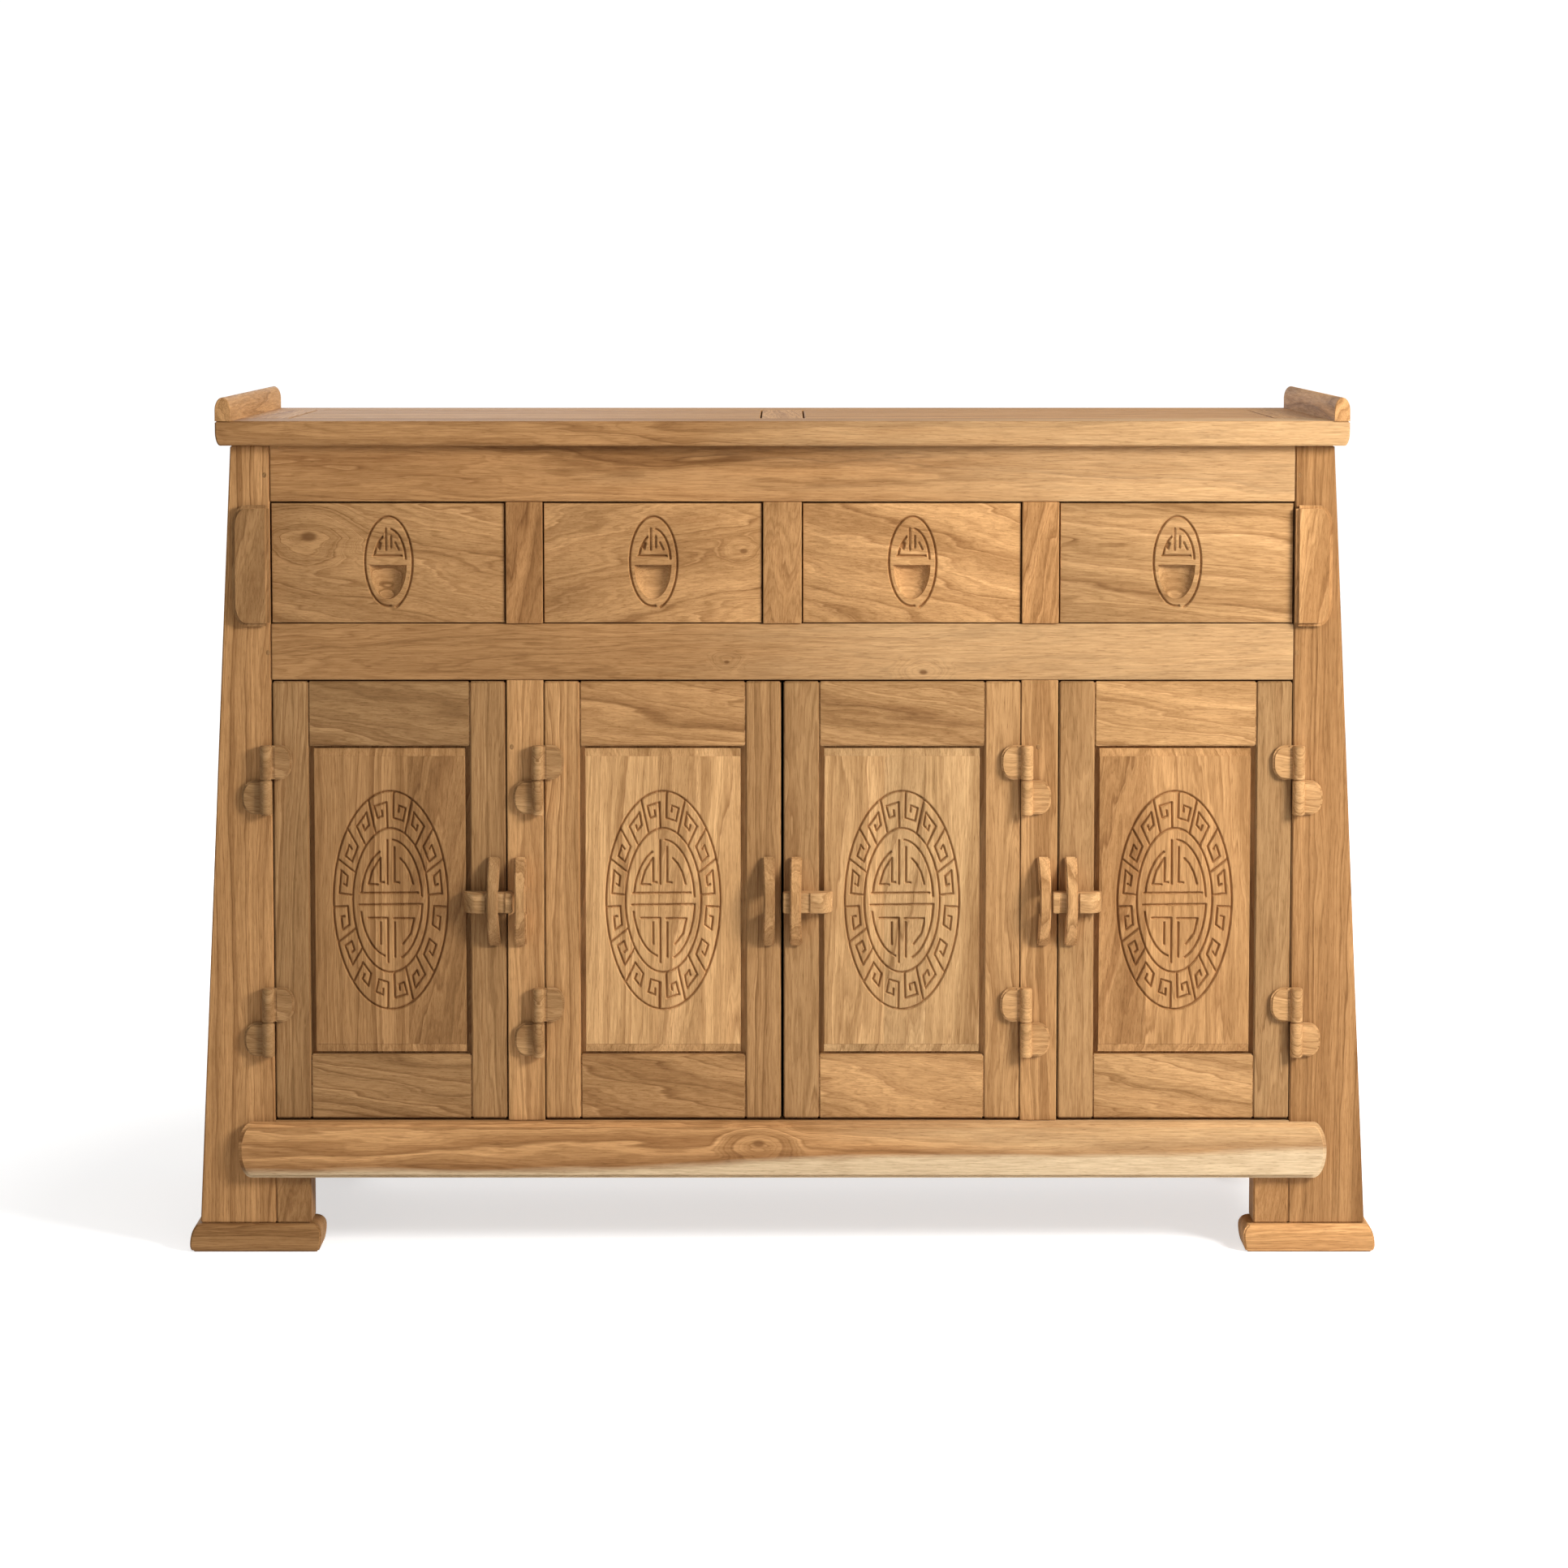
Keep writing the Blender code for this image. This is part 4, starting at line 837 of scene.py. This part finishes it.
def add_framed_back():
    """The framed back: long rails between two stiles, short bars between the rails, and sunk fields."""
    node = "back_panel"
    low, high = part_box(node)
    y, sunk = (low.y, high.y), (low.y, high.y - BACK_RECESS)
    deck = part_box("middle_rail")[1].z
    rails = [(low.z, low.z + BACK_BOARD), (deck - BACK_BOARD, deck), (high.z - BACK_BOARD, high.z)]
    inner = (low.x + BACK_BOARD, high.x - BACK_BOARD)
    for name, x in (("left", (low.x, inner[0])), ("right", (inner[1], high.x))):
        look = ("Z", 0.94, 1.0, 130 + x[0], (-x[0] + 0.1, 0.15), 0.8)
        add_board(f"back_stile_{name}", x, y, (low.z, high.z), "carcass", node, look)
    for i, z in enumerate(rails):
        look = ("X", 0.96 - 0.04 * i, 1.0, 134 + i, (z[0] - 0.05, 0.15), 1)
        add_board(f"back_rail_{i + 1}", fitted(*inner), y, z, "carcass", node, look)
    pitch = (inner[1] - inner[0] + BACK_BOARD) / BACK_COLUMNS
    for row, (lower, upper) in enumerate(zip(rails, rails[1:])):
        z = fitted(lower[1], upper[0])
        for column in range(BACK_COLUMNS):
            left = inner[0] + pitch * column
            x = fitted(left, left + pitch - BACK_BOARD)
            heart = (-sum(x) / 2 + 0.05 * row, 0.13)
            look = ("Z", 0.88 + 0.05 * column, 1.0, 140 + row * 3 + column, heart, 3 - column)
            add_board(f"back_field_{row + 1}_{column + 1}", x, sunk, z, "carcass", node, look)
            if column:
                x = fitted(left - BACK_BOARD, left)
                look = ("Z", 0.97, 1.0, 150 + row + column, (0.1 - x[0], 0.15), 1)
                add_board(f"back_bar_{row + 1}_{column + 1}", x, y, z, "carcass", node, look)


# Top

SCROLL_CROWN = 0.015
TOP_PANEL_GAP = 0.002  # at each end of a panel
TOP_END = (0.006, 0.016)  # rounding under each end of the top, across and up


def add_top():
    """The framed top: long rails, end boards and a middle bar round two panels, with a strip on each end."""
    low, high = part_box("top_frame")
    panels = [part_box(f"top_panel_{name}") for name in ("left", "right")]
    x_in = panels[0][0].x - TOP_PANEL_GAP
    muntin = panels[0][1].x + TOP_PANEL_GAP
    y0, y1 = panels[0][0].y - FIT, panels[0][1].y + FIT
    z = (low.z, high.z)
    # the front rail pales towards its right end: partly paler wood, partly painted light where the lamp
    # falls stronger
    pale_bands = [((1, 0, 0), -0.06, 0.50, 0.46, PALE_AND_LIT)]
    wood = teak("top_front", "X", 0.76, 1.02, 60, (0.85, -0.16), 0.5, pale_bands)
    add_top_board("top_rail_front", (low.x, high.x), (low.y, y0), z, wood, EDGE_EASE)
    wood = teak("top_back", "X", 1.0, seed=61, pith=(0.9, 0.3), tilt=0.4)
    add_top_board("top_rail_back", (low.x, high.x), (y1, high.y), z, wood, EDGE_EASE)
    wood = teak("top_ends", "Y", 1.0, seed=62, pith=(0.92, 0.62), tilt=0.6)
    add_top_board("top_end_left", (low.x, x_in), (y0, y1), z, wood)
    add_top_board("top_end_right", (-x_in, high.x), (y0, y1), z, wood)
    add_top_board("top_bar", (muntin, -muntin), (y0, y1), z, wood)
    for name, side in SIDES:
        node = f"top_panel_{name}"
        dress(node, teak(node, "X", 0.98, seed=64 + side, pith=(0.9, 0.02), tilt=2))
        add_scroll(name, side)


def add_top_board(name, x, y, z, wood, ease=JOINT_EASE):
    """A board of the top's frame, rounded below where it reaches an end of the top."""
    low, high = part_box("top_frame")
    left, right = [(x[0], z[0])], [(x[1], z[0])]
    if x[1] > high.x - FIT:
        right = arc((x[1] - TOP_END[0], z[0] + TOP_END[1]), TOP_END, -90, 0)
    if x[0] < low.x + FIT:
        left = arc((x[0] + TOP_END[0], z[0] + TOP_END[1]), TOP_END, 180, 270)
    mesh = prism(left + right + [(x[1], z[1]), (x[0], z[1])], "Y", *y)
    ease_edges(mesh, ease)
    add_piece(name, mesh, "carcass", wood, "top_frame")


def add_scroll(name, side):
    """The strip along an end of the top, rounded over."""
    node = f"top_scroll_{name}"
    low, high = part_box(node)
    x0, x1 = sorted((abs(low.x), abs(high.x)))
    crown = arc(((x0 + x1) / 2, high.z - SCROLL_CROWN), ((x1 - x0) / 2, SCROLL_CROWN), 0, 180, 18)
    foot = low.z - FIT
    mesh = prism([(side * x, z) for x, z in [(x0, foot), (x1, foot)] + crown], "Y", low.y, high.y)
    ease_edges(mesh, EDGE_EASE, 3, 50, above=low.z + EDGE_EASE)
    wood = teak(node, "Y", 0.98 + 0.05 * side, seed=70 + side, pith=(0.98, side * 0.60), tilt=0.5)
    add_piece(node + "_strip", mesh, "carcass", wood, node)


# Doors

# Each door: how red it is, and how bright its left and right stiles, lower and upper rails, and fittings are
DOOR_TONES = {
    1: (0.97, 0.735, 0.77, 0.72, 0.65, 0.70),
    2: (0.99, 0.97, 0.74, 0.80, 0.87, 0.78),
    3: (0.96, 0.80, 0.98, 1.03, 0.86, 1.00),
    4: (0.95, 0.86, 0.70, 0.94, 1.04, 0.94),
}
STILE_WIDTH = 0.0415
DOOR_RAIL_HEIGHT = 0.076
DOOR_THICKNESS = 0.021
PANEL_TONGUE = 0.007
PANEL_SIDE_RABBET = 0.006
PANEL_END_RABBET = 0.003
PANEL_RABBET_DEPTH = 0.0075
PANEL_EASE = 0.0006  # rounding of the field's edge
PANEL_END_SLOPE = (0.009, 0.0025)  # run and fall of the panel's field at its ends
PANEL_CREASE = 11  # degrees; sharper edges of the carving stay crisp
BOARD_MARGIN = 0.0004  # of the joints between a panel's boards from its ends
RAIL_SETBACK = 0.0004  # of a door's rails behind its stiles

# Hinges
LEAF_THICKNESS = 0.007
LEAF_CORNER = (0.014, 0.017)
LEAF_SHOULDER = 0.0006  # of a leaf's edge inside its knuckle's end
LEAF_EASE = 0.0022
LEAF_ROOT = 0.001  # of a leaf in the stile
DOOR_LEAF_LENGTH = 0.0225
ARM_LAP = 0.003  # of the arm from the barrel over the stile
BARREL_CLEARANCE = 0.0004  # to the face behind it
BARREL_EASE = 0.0012
BARREL_SIDES = 28
KNUCKLE_GAP = 0.0006
PIN_RISE = 0.030  # of the pin above the frame's knuckle
HINGE_LIFT = 1.08  # how much brighter than its door's fittings a hinge is
HINGE_RED = 0.95

# Latches
SLOT_HALF = 0.0125
SLOT_DEPTH = 0.0205  # of the slot in front of the doors' faces
KEEPER_END = 0.004  # thickness of a keeper's blunt ends
KEEPER_EASE = 0.0018
KEEPER_WAIST = 0.10  # share of its width that a keeper loses at its middle
KEEPER_BOW = (-0.0014, 0.0010, -0.0008, 0.0006)  # how far each door's keeper bends to the side
KEEPER_LIFT = 1.06
KEEPER_RED = 0.97
POST_KEEPERS = {"left": (0.92, 0.0008), "right": (1.0, 0.0016)}  # how bright, and the bend
BOLTS = {"left": (1, 0.92), "middle": (-1, 1.0), "right": (-1, 1.02)}  # the way each locks, how bright
BOLT_RED = 0.93
BOLT_TIP = 0.0085
BOLT_NECK = (0.031, 0.002)  # where it ends behind the tip, and how deep it is cut
BOLT_HEAD = 0.017
BOLT_EASE = 0.0010

# Boards of a door's panel from the left: where one starts, how bright and red, its heart's place and slope
PANEL_BOARDS = {
    1: ((-0.56, 0.79, 1.0, -0.60, 0.5), (-0.440, 0.62, 1.03, -0.395, 5.0)),
    2: ((-0.24, 1.29, 0.92, -0.3, 0.6), (-0.146, 1.08, 0.94, -0.118, 3.5), (-0.096, 1.36, 0.92, -0.02, 0.5)),
    3: ((0.05, 1.13, 0.92, 0.02, 0.8), (0.120, 1.08, 0.89, 0.150, 3.0), (0.168, 1.21, 0.89, 0.26, 0.6)),
    4: ((0.36, 0.73, 1.03, 0.400, 5.0), (0.428, 0.96, 0.99, 0.60, 0.5)),
}


def door_box(number):
    """x range and z range of a door's frame, without its hinge leaves."""
    low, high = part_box(f"door_{number}_frame")
    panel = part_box(f"door_{number}_panel")
    x = (panel[0].x + PANEL_TONGUE - STILE_WIDTH, panel[1].x - PANEL_TONGUE + STILE_WIDTH)
    return x, (low.z, high.z)


def add_door(number):
    """A door: two stiles, two rails, the carved panel, its hinges and its keeper."""
    body, node = f"door_{number}", f"door_{number}_frame"
    red, left, right, lower, upper, fittings = DOOR_TONES[number]
    x, z = door_box(number)
    y = (FACE_Y, FACE_Y + DOOR_THICKNESS)
    for name, edge, bright in (("left", x[0], left), ("right", x[1] - STILE_WIDTH, right)):
        look = ("Z", bright, red, number * 3 + edge, (-edge - 0.12, -0.1), 0.8)
        add_board(f"{body}_stile_{name}", (edge, edge + STILE_WIDTH), y, z, body, node, look, EDGE_EASE)
    inner = fitted(x[0] + STILE_WIDTH, x[1] - STILE_WIDTH)
    rail_y = (FACE_Y + RAIL_SETBACK, y[1])
    for name, edge, bright in (("bottom", z[0], lower), ("top", z[1] - DOOR_RAIL_HEIGHT, upper)):
        look = ("X", bright, red, number * 5 + edge, (edge + DOOR_RAIL_HEIGHT / 2, -0.13), 4.5)
        rail_z = (edge, edge + DOOR_RAIL_HEIGHT)
        add_board(f"{body}_rail_{name}", inner, rail_y, rail_z, body, node, look, EDGE_EASE)
    add_panel(number)
    add_hinges(number, fittings)
    add_keeper(f"door_{number}_keeper", body, fittings, KEEPER_BOW[number - 1])


def add_panel(number):
    """A raised panel of jointed boards with its carved medallion."""
    body, node = f"door_{number}", f"door_{number}_panel"
    low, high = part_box(node)
    run, fall = PANEL_END_SLOPE
    side, end = PANEL_TONGUE + PANEL_SIDE_RABBET, PANEL_TONGUE + PANEL_END_RABBET + run
    x, z = (low.x + side, high.x - side), (low.z + end, high.z - end)
    middle = ((x[0] + x[1]) / 2, (z[0] + z[1]) / 2)
    loops = placed(MEDALLION_OUTLINES, middle)
    joints = [board[0] for board in PANEL_BOARDS[number][1:]]
    cuts = [[(joint, z[0] + BOARD_MARGIN), (joint, z[1] - BOARD_MARGIN)] for joint in joints]
    cuts += placed(MEDALLION_LINES, middle, MEDALLION)

    def depth(points):
        return cut_depth(points - middle, MEDALLION_LINES, MEDALLION)

    rabbet = low.y + PANEL_RABBET_DEPTH
    sloped, whole = (z[0] - run, z[1] + run), ((low.x, high.x), (low.z, high.z))
    behind = [(x, sloped, low.y + fall), (x, sloped, rabbet), (*whole, rabbet), (*whole, high.y)]
    mesh = carved_mesh(x, z, low.y, loops, cuts, depth, PANEL_EASE, behind)
    for face in mesh.faces:
        face.material_index = sum(face.calc_center_median().x > joint for joint in joints)
    woods = []
    for i, (_, shade, tint, pith, tilt) in enumerate(PANEL_BOARDS[number]):
        seed = number * 11 + i * 3
        woods.append(teak(f"{body}_panel_{i}", "Z", shade, tint, seed, (-pith, -0.11), tilt))
    piece = add_piece(node + "_carved", mesh, body, woods, node, weighted=False, crease=PANEL_CREASE)
    mark_carving(piece, middle, MEDALLION_LINES, MEDALLION)


def join(*meshes):
    """One bmesh of several closed ones."""
    whole = bmesh.new()
    for mesh in meshes:
        data = mesh_data("part", mesh)
        whole.from_mesh(data)
        bpy.data.meshes.remove(data)
    return whole


def leaf_pad(root, tip, low, high, back):
    """The flat part of a hinge's leaf."""
    pad = prism(leaf_outline(root, tip, low, high, LEAF_CORNER), "Y", FACE_Y - LEAF_THICKNESS, back)
    ease_edges(pad, LEAF_EASE, 4)
    return pad


def knuckle(x, y, low, high):
    """The barrel of a hinge's leaf, round the pin."""
    radius = FACE_Y - y - BARREL_CLEARANCE
    barrel = prism(arc((x, y), (radius, radius), 0, 360, BARREL_SIDES)[:-1], "Z", low, high)
    ease_edges(barrel, BARREL_EASE, 3, 60)
    return barrel


def add_hinges(number, bright):
    """Both leaves of a door's two wooden hinges."""
    body = f"door_{number}"
    way = 1 if number < 3 else -1
    joint = next(j for j in frame["joints"] if j["child"] == body)
    axis_x, axis_y = joint["pos_m"][:2]
    x, _ = door_box(number)
    edge = x[0] if way > 0 else x[1]
    arm_x = (axis_x, edge + way * ARM_LAP)
    arm_y = (FACE_Y - LEAF_THICKNESS + LEAF_SHOULDER, FACE_Y - BARREL_CLEARANCE)
    look = ("X", bright * HINGE_LIFT, HINGE_RED)
    for place in ("upper", "lower"):
        node = f"hinge_{number}_{place}"
        low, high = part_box(node)
        split = high.z - PIN_RISE
        foot, head = split + KNUCKLE_GAP, split + split - low.z
        tip = low.x if way > 0 else high.x
        pad = leaf_pad(axis_x, tip, low.z + LEAF_SHOULDER, split - LEAF_SHOULDER, FACE_Y - FIT)
        barrel = knuckle(axis_x, axis_y, low.z, split)
        wood = teak(node, *look, number + 80, (0.02 + split, -0.15), 3)
        add_piece(node + "_post_leaf", join(pad, barrel), "carcass", wood, node)
        pad = leaf_pad(edge + way * FIT, edge + way * DOOR_LEAF_LENGTH, foot, head, FACE_Y + LEAF_ROOT)
        arm = block(arm_x, arm_y, (foot + LEAF_SHOULDER, head - LEAF_SHOULDER))
        barrel = knuckle(axis_x, axis_y, foot, head)
        wood = teak(node + "_door", *look, number + 90, (0.05 + split, -0.15), 3)
        add_piece(node + "_door_leaf", join(pad, arm, barrel), body, wood, f"door_{number}_frame")


def add_keeper(node, body, bright, bow):
    """An arched keeper, carved by hand: round-backed, with blunt ends and a slot for the bolt."""
    low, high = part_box(node)
    x = (low.x, high.x)
    middle = (low.z + high.z) / 2
    half = (high.z - low.z) / 2
    rise = high.y - low.y
    slot_y = FACE_Y - SLOT_DEPTH
    sagitta = rise - KEEPER_END
    radius = (half**2 + sagitta**2) / (2 * sagitta)
    spread = math.degrees(math.asin(half / radius))
    crown = arc((low.y + radius, middle), (-radius, radius), -spread, spread, 28)
    legs = [(high.y, middle + half), (high.y, middle + SLOT_HALF), (slot_y, middle + SLOT_HALF)]
    outline = crown + legs + [(y, 2 * middle - z) for y, z in reversed(legs)]
    mesh = prism(outline, "X", *x)
    ease_edges(mesh, KEEPER_EASE, 4, 50)
    centre = sum(x) / 2
    for vert in mesh.verts:
        share = 1 - ((vert.co.z - middle) / half) ** 2
        vert.co.x = centre + (vert.co.x - centre) * (1 - KEEPER_WAIST * share) + bow * (share - 0.5)
    wood = teak(node, "Z", bright * KEEPER_LIFT, KEEPER_RED, low.x * 31, (-x[0], -0.17), 2.5)
    add_piece(node + "_arch", mesh, body, wood, node)


def add_bolt(name, way, bright):
    """A sliding bolt: square tip, neck under its keeper, and a thumb-rounded head."""
    node = f"bolt_{name}"
    low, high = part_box(node)
    tip, tail = (high.x, low.x) if way > 0 else (low.x, high.x)
    base, face = high.y, low.y
    start, end = tip - way * BOLT_TIP, tip - way * BOLT_NECK[0]
    neck = face + BOLT_NECK[1]
    shank = [(tip, base), (tip, face), (start, face), (start, neck), (end, neck), (end, face)]
    crown = arc((tail + way * BOLT_HEAD, base), (way * BOLT_HEAD, face - base), 90, 180, 14)
    mesh = prism(shank + crown, "Z", low.z, high.z)
    ease_edges(mesh, BOLT_EASE, 3, 50)
    wood = teak(node, "X", bright, BOLT_RED, way * 3 + low.x, (0.40, -0.15), 4)
    add_piece(node + "_slide", mesh, node, wood, node)


# Drawers

# Each drawer front: how bright and red it is, the height of the heart behind it, its slope, and its knots
DRAWER_WOOD = {
    1: (0.86, 0.985, 0.80, 5.0, [(-0.553, 0.847, 0.012)]),
    2: (0.92, 0.99, 0.84, -6.0, [(-0.045, 0.83, 0.006)]),
    3: (1.05, 0.98, 0.80, 7.0, []),
    4: (0.90, 0.95, 0.85, 3.0, []),
}
PULL_RISE = 0.0010  # of the pull's middle above the front's
SCOOP_DROP = 0.0022
SCOOP = (0.02175, 0.040, 0.011)  # half-width, height and depth
SCOOP_RINGS = (1.0, 0.985, 0.95, 0.88, 0.76, 0.6, 0.4, 0.2)  # shares of its size where it has points
LIP = 0.0003  # height of the slope at the scoop's straight edge
TOUCH = 1e-6


def add_drawer(number):
    """A drawer front with its carved oval pull, and the plain box behind it."""
    body, node = f"drawer_{number}", f"drawer_{number}_front"
    bright, red, pith, tilt, knots = DRAWER_WOOD[number]
    low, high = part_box(node)
    x, z = (low.x, high.x), (low.z, high.z)
    middle = (sum(x) / 2, sum(z) / 2 + PULL_RISE)
    lip = sum(z) / 2 - SCOOP_DROP - middle[1]
    loops = list(PULL_OUTLINES)
    for share in SCOOP_RINGS:
        loops.append(arc((0, lip - LIP), (SCOOP[0] * share, SCOOP[1] * share), 180, 360, 36))
    loops = placed(loops, middle)
    cuts = [[(middle[0] - SCOOP[0] - LIP, middle[1] + lip), (middle[0] + SCOOP[0] + LIP, middle[1] + lip)]]
    cuts += placed(PULL_LINES, middle, PULL)

    def depth(points):
        own = points - middle
        cut = cut_depth(own, PULL_LINES, PULL)
        share = np.hypot(own[:, 0] / SCOOP[0], (own[:, 1] - lip + LIP) / SCOOP[1])
        hollow = SCOOP[2] * np.sqrt(np.clip(1 - share**2, 0, None))
        hollow[own[:, 1] > lip - LIP + TOUCH] = 0
        return np.maximum(cut, hollow)

    mesh = carved_mesh(x, z, low.y, loops, cuts, depth, EDGE_EASE, [(x, z, high.y)])
    wood = teak(node, "X", bright, red, 100 + number, (pith, -0.12), tilt, knots=knots)
    piece = add_piece(node + "_carved", mesh, body, wood, node, weighted=False)
    mark_carving(piece, middle, PULL_LINES, PULL)
    box = f"drawer_{number}_box"
    dress(box, teak(box, "Y", 1.0, seed=110 + number, pith=(0.8, 0.3)))


# Stage

FLOOR_HALF = 9
FLOOR_THICKNESS = 0.02
FLOOR_TONE = (0.80, 0.80, 0.80, 1.0)
FLOOR_ROUGHNESS = 0.9
FLOOR_SHEEN = 0.1
FLOOR_GLOW = 0.62  # what the camera sees of the floor in full shadow
FLOOR_FADE = (0.9, 1.7)  # from the middle: where the floor starts to turn plain white, and is so
WORLD = (0.16, 1.05)  # strength of the light from all round, and of the white that is seen there
WHITE = (1, 1, 1)

# Each lamp: its place, its aim, its width and height, power and colour, and whether the wood mirrors it
LAMPS = {
    "key": ((2.1, -1.75, 1.65), (0.1, 0, 0.5), (0.80, 0.80), 98, WHITE, False),
    "fill": ((-2.0, -3.6, 1.4), (0, 0, 0.5), (2.5, 2.0), 15, (1.0, 0.95, 0.86), True),
    "overhead": ((0.4, -0.7, 2.8), (0, 0, 0), (2.4, 1.6), 18, WHITE, True),
    "back": ((-1.4, 3.4, 1.8), (0, 0.2, 0.5), (2.4, 2.0), 40, WHITE, True),
}


def seen_plainly(graph):
    """One where the camera sees a surface directly, mirrored or through something clear, otherwise zero."""
    path = graph.add("LightPath").outputs
    mirrored = graph.math("MAXIMUM", path["Is Camera Ray"], path["Is Glossy Ray"])
    return graph.math("MAXIMUM", mirrored, path["Is Transmission Ray"])


def add_floor():
    """A pale floor that the camera sees as white wherever no shadow falls."""
    reach = (-FLOOR_HALF, FLOOR_HALF)
    floor = add_object("floor", mesh_data("floor", block(reach, reach, (-FLOOR_THICKNESS, 0.0))))
    material = bpy.data.materials.new("pale_floor")
    graph = Graph(material)
    shader = graph.nodes["Principled BSDF"]
    finish = {"Base Color": FLOOR_TONE, "Roughness": FLOOR_ROUGHNESS, "Specular IOR Level": FLOOR_SHEEN}
    graph.fill(shader, finish)
    distance = graph.vector("LENGTH", graph.add("TexCoord").outputs["Object"])
    fade = graph.span(distance, *FLOOR_FADE, FLOOR_GLOW, 1.0)
    glow = graph.add("Emission", (*WHITE, 1), graph.math("MULTIPLY", seen_plainly(graph), fade))
    both = graph.add("AddShader", shader.outputs[0], glow.outputs[0])
    graph.fill(graph.nodes["Material Output"], {"Surface": both.outputs[0]})
    floor.data.materials.append(material)


def add_light(name, place, aim, size, power, colour, mirrored):
    """A rectangular lamp; one that isn't mirrored leaves no glare on polished wood."""
    lamp = bpy.data.lights.new(name, "AREA")
    lamp.shape = "RECTANGLE"
    lamp.size, lamp.size_y = size
    lamp.energy = power
    lamp.color = colour
    light = add_object(name, lamp)
    light.visible_glossy = mirrored
    light.location = place
    light.rotation_euler = (Vector(aim) - Vector(place)).to_track_quat("-Z", "Y").to_euler()


def add_lights():
    """The lamps, and a faint light from all round."""
    for name, settings in LAMPS.items():
        add_light(name, *settings)
    world = bpy.context.scene.world or bpy.data.worlds.new("studio")
    bpy.context.scene.world = world
    graph = Graph(world)
    strength = graph.span(seen_plainly(graph), 0.0, 1.0, *WORLD)
    graph.fill(graph.nodes["Background"], {"Color": (*WHITE, 1), "Strength": strength})


def add_camera():
    """A long lens, tilted a little and shifted for the rest of its drop."""
    camera = bpy.data.cameras.new("camera")
    camera.sensor_width = SENSOR
    camera.lens = FOCAL_PIXELS / PHOTO_SIZE * SENSOR
    camera.shift_x = (PHOTO_SIZE / 2 - CENTRE_PIXEL) / PHOTO_SIZE
    camera.shift_y = -SHIFT
    seen = add_object("camera", camera)
    seen.location = (0.0, FACE_Y - CAMERA_DISTANCE, CAMERA_HEIGHT)
    seen.rotation_euler = (math.pi / 2 - CAMERA_TILT, 0, 0)
    bpy.context.scene.camera = seen
    bpy.context.scene.view_settings.view_transform = "Standard"


def main():
    add_camera()
    add_floor()
    add_lights()
    dress_carcass()
    add_posts()
    add_pegs()
    add_feet()
    add_top()
    for number in (1, 2, 3, 4):
        add_door(number)
        add_drawer(number)
    for name, (bright, bow) in POST_KEEPERS.items():
        add_keeper(f"post_keeper_{name}", "carcass", bright, bow)
    for name, (way, bright) in BOLTS.items():
        add_bolt(name, way, bright)


main()
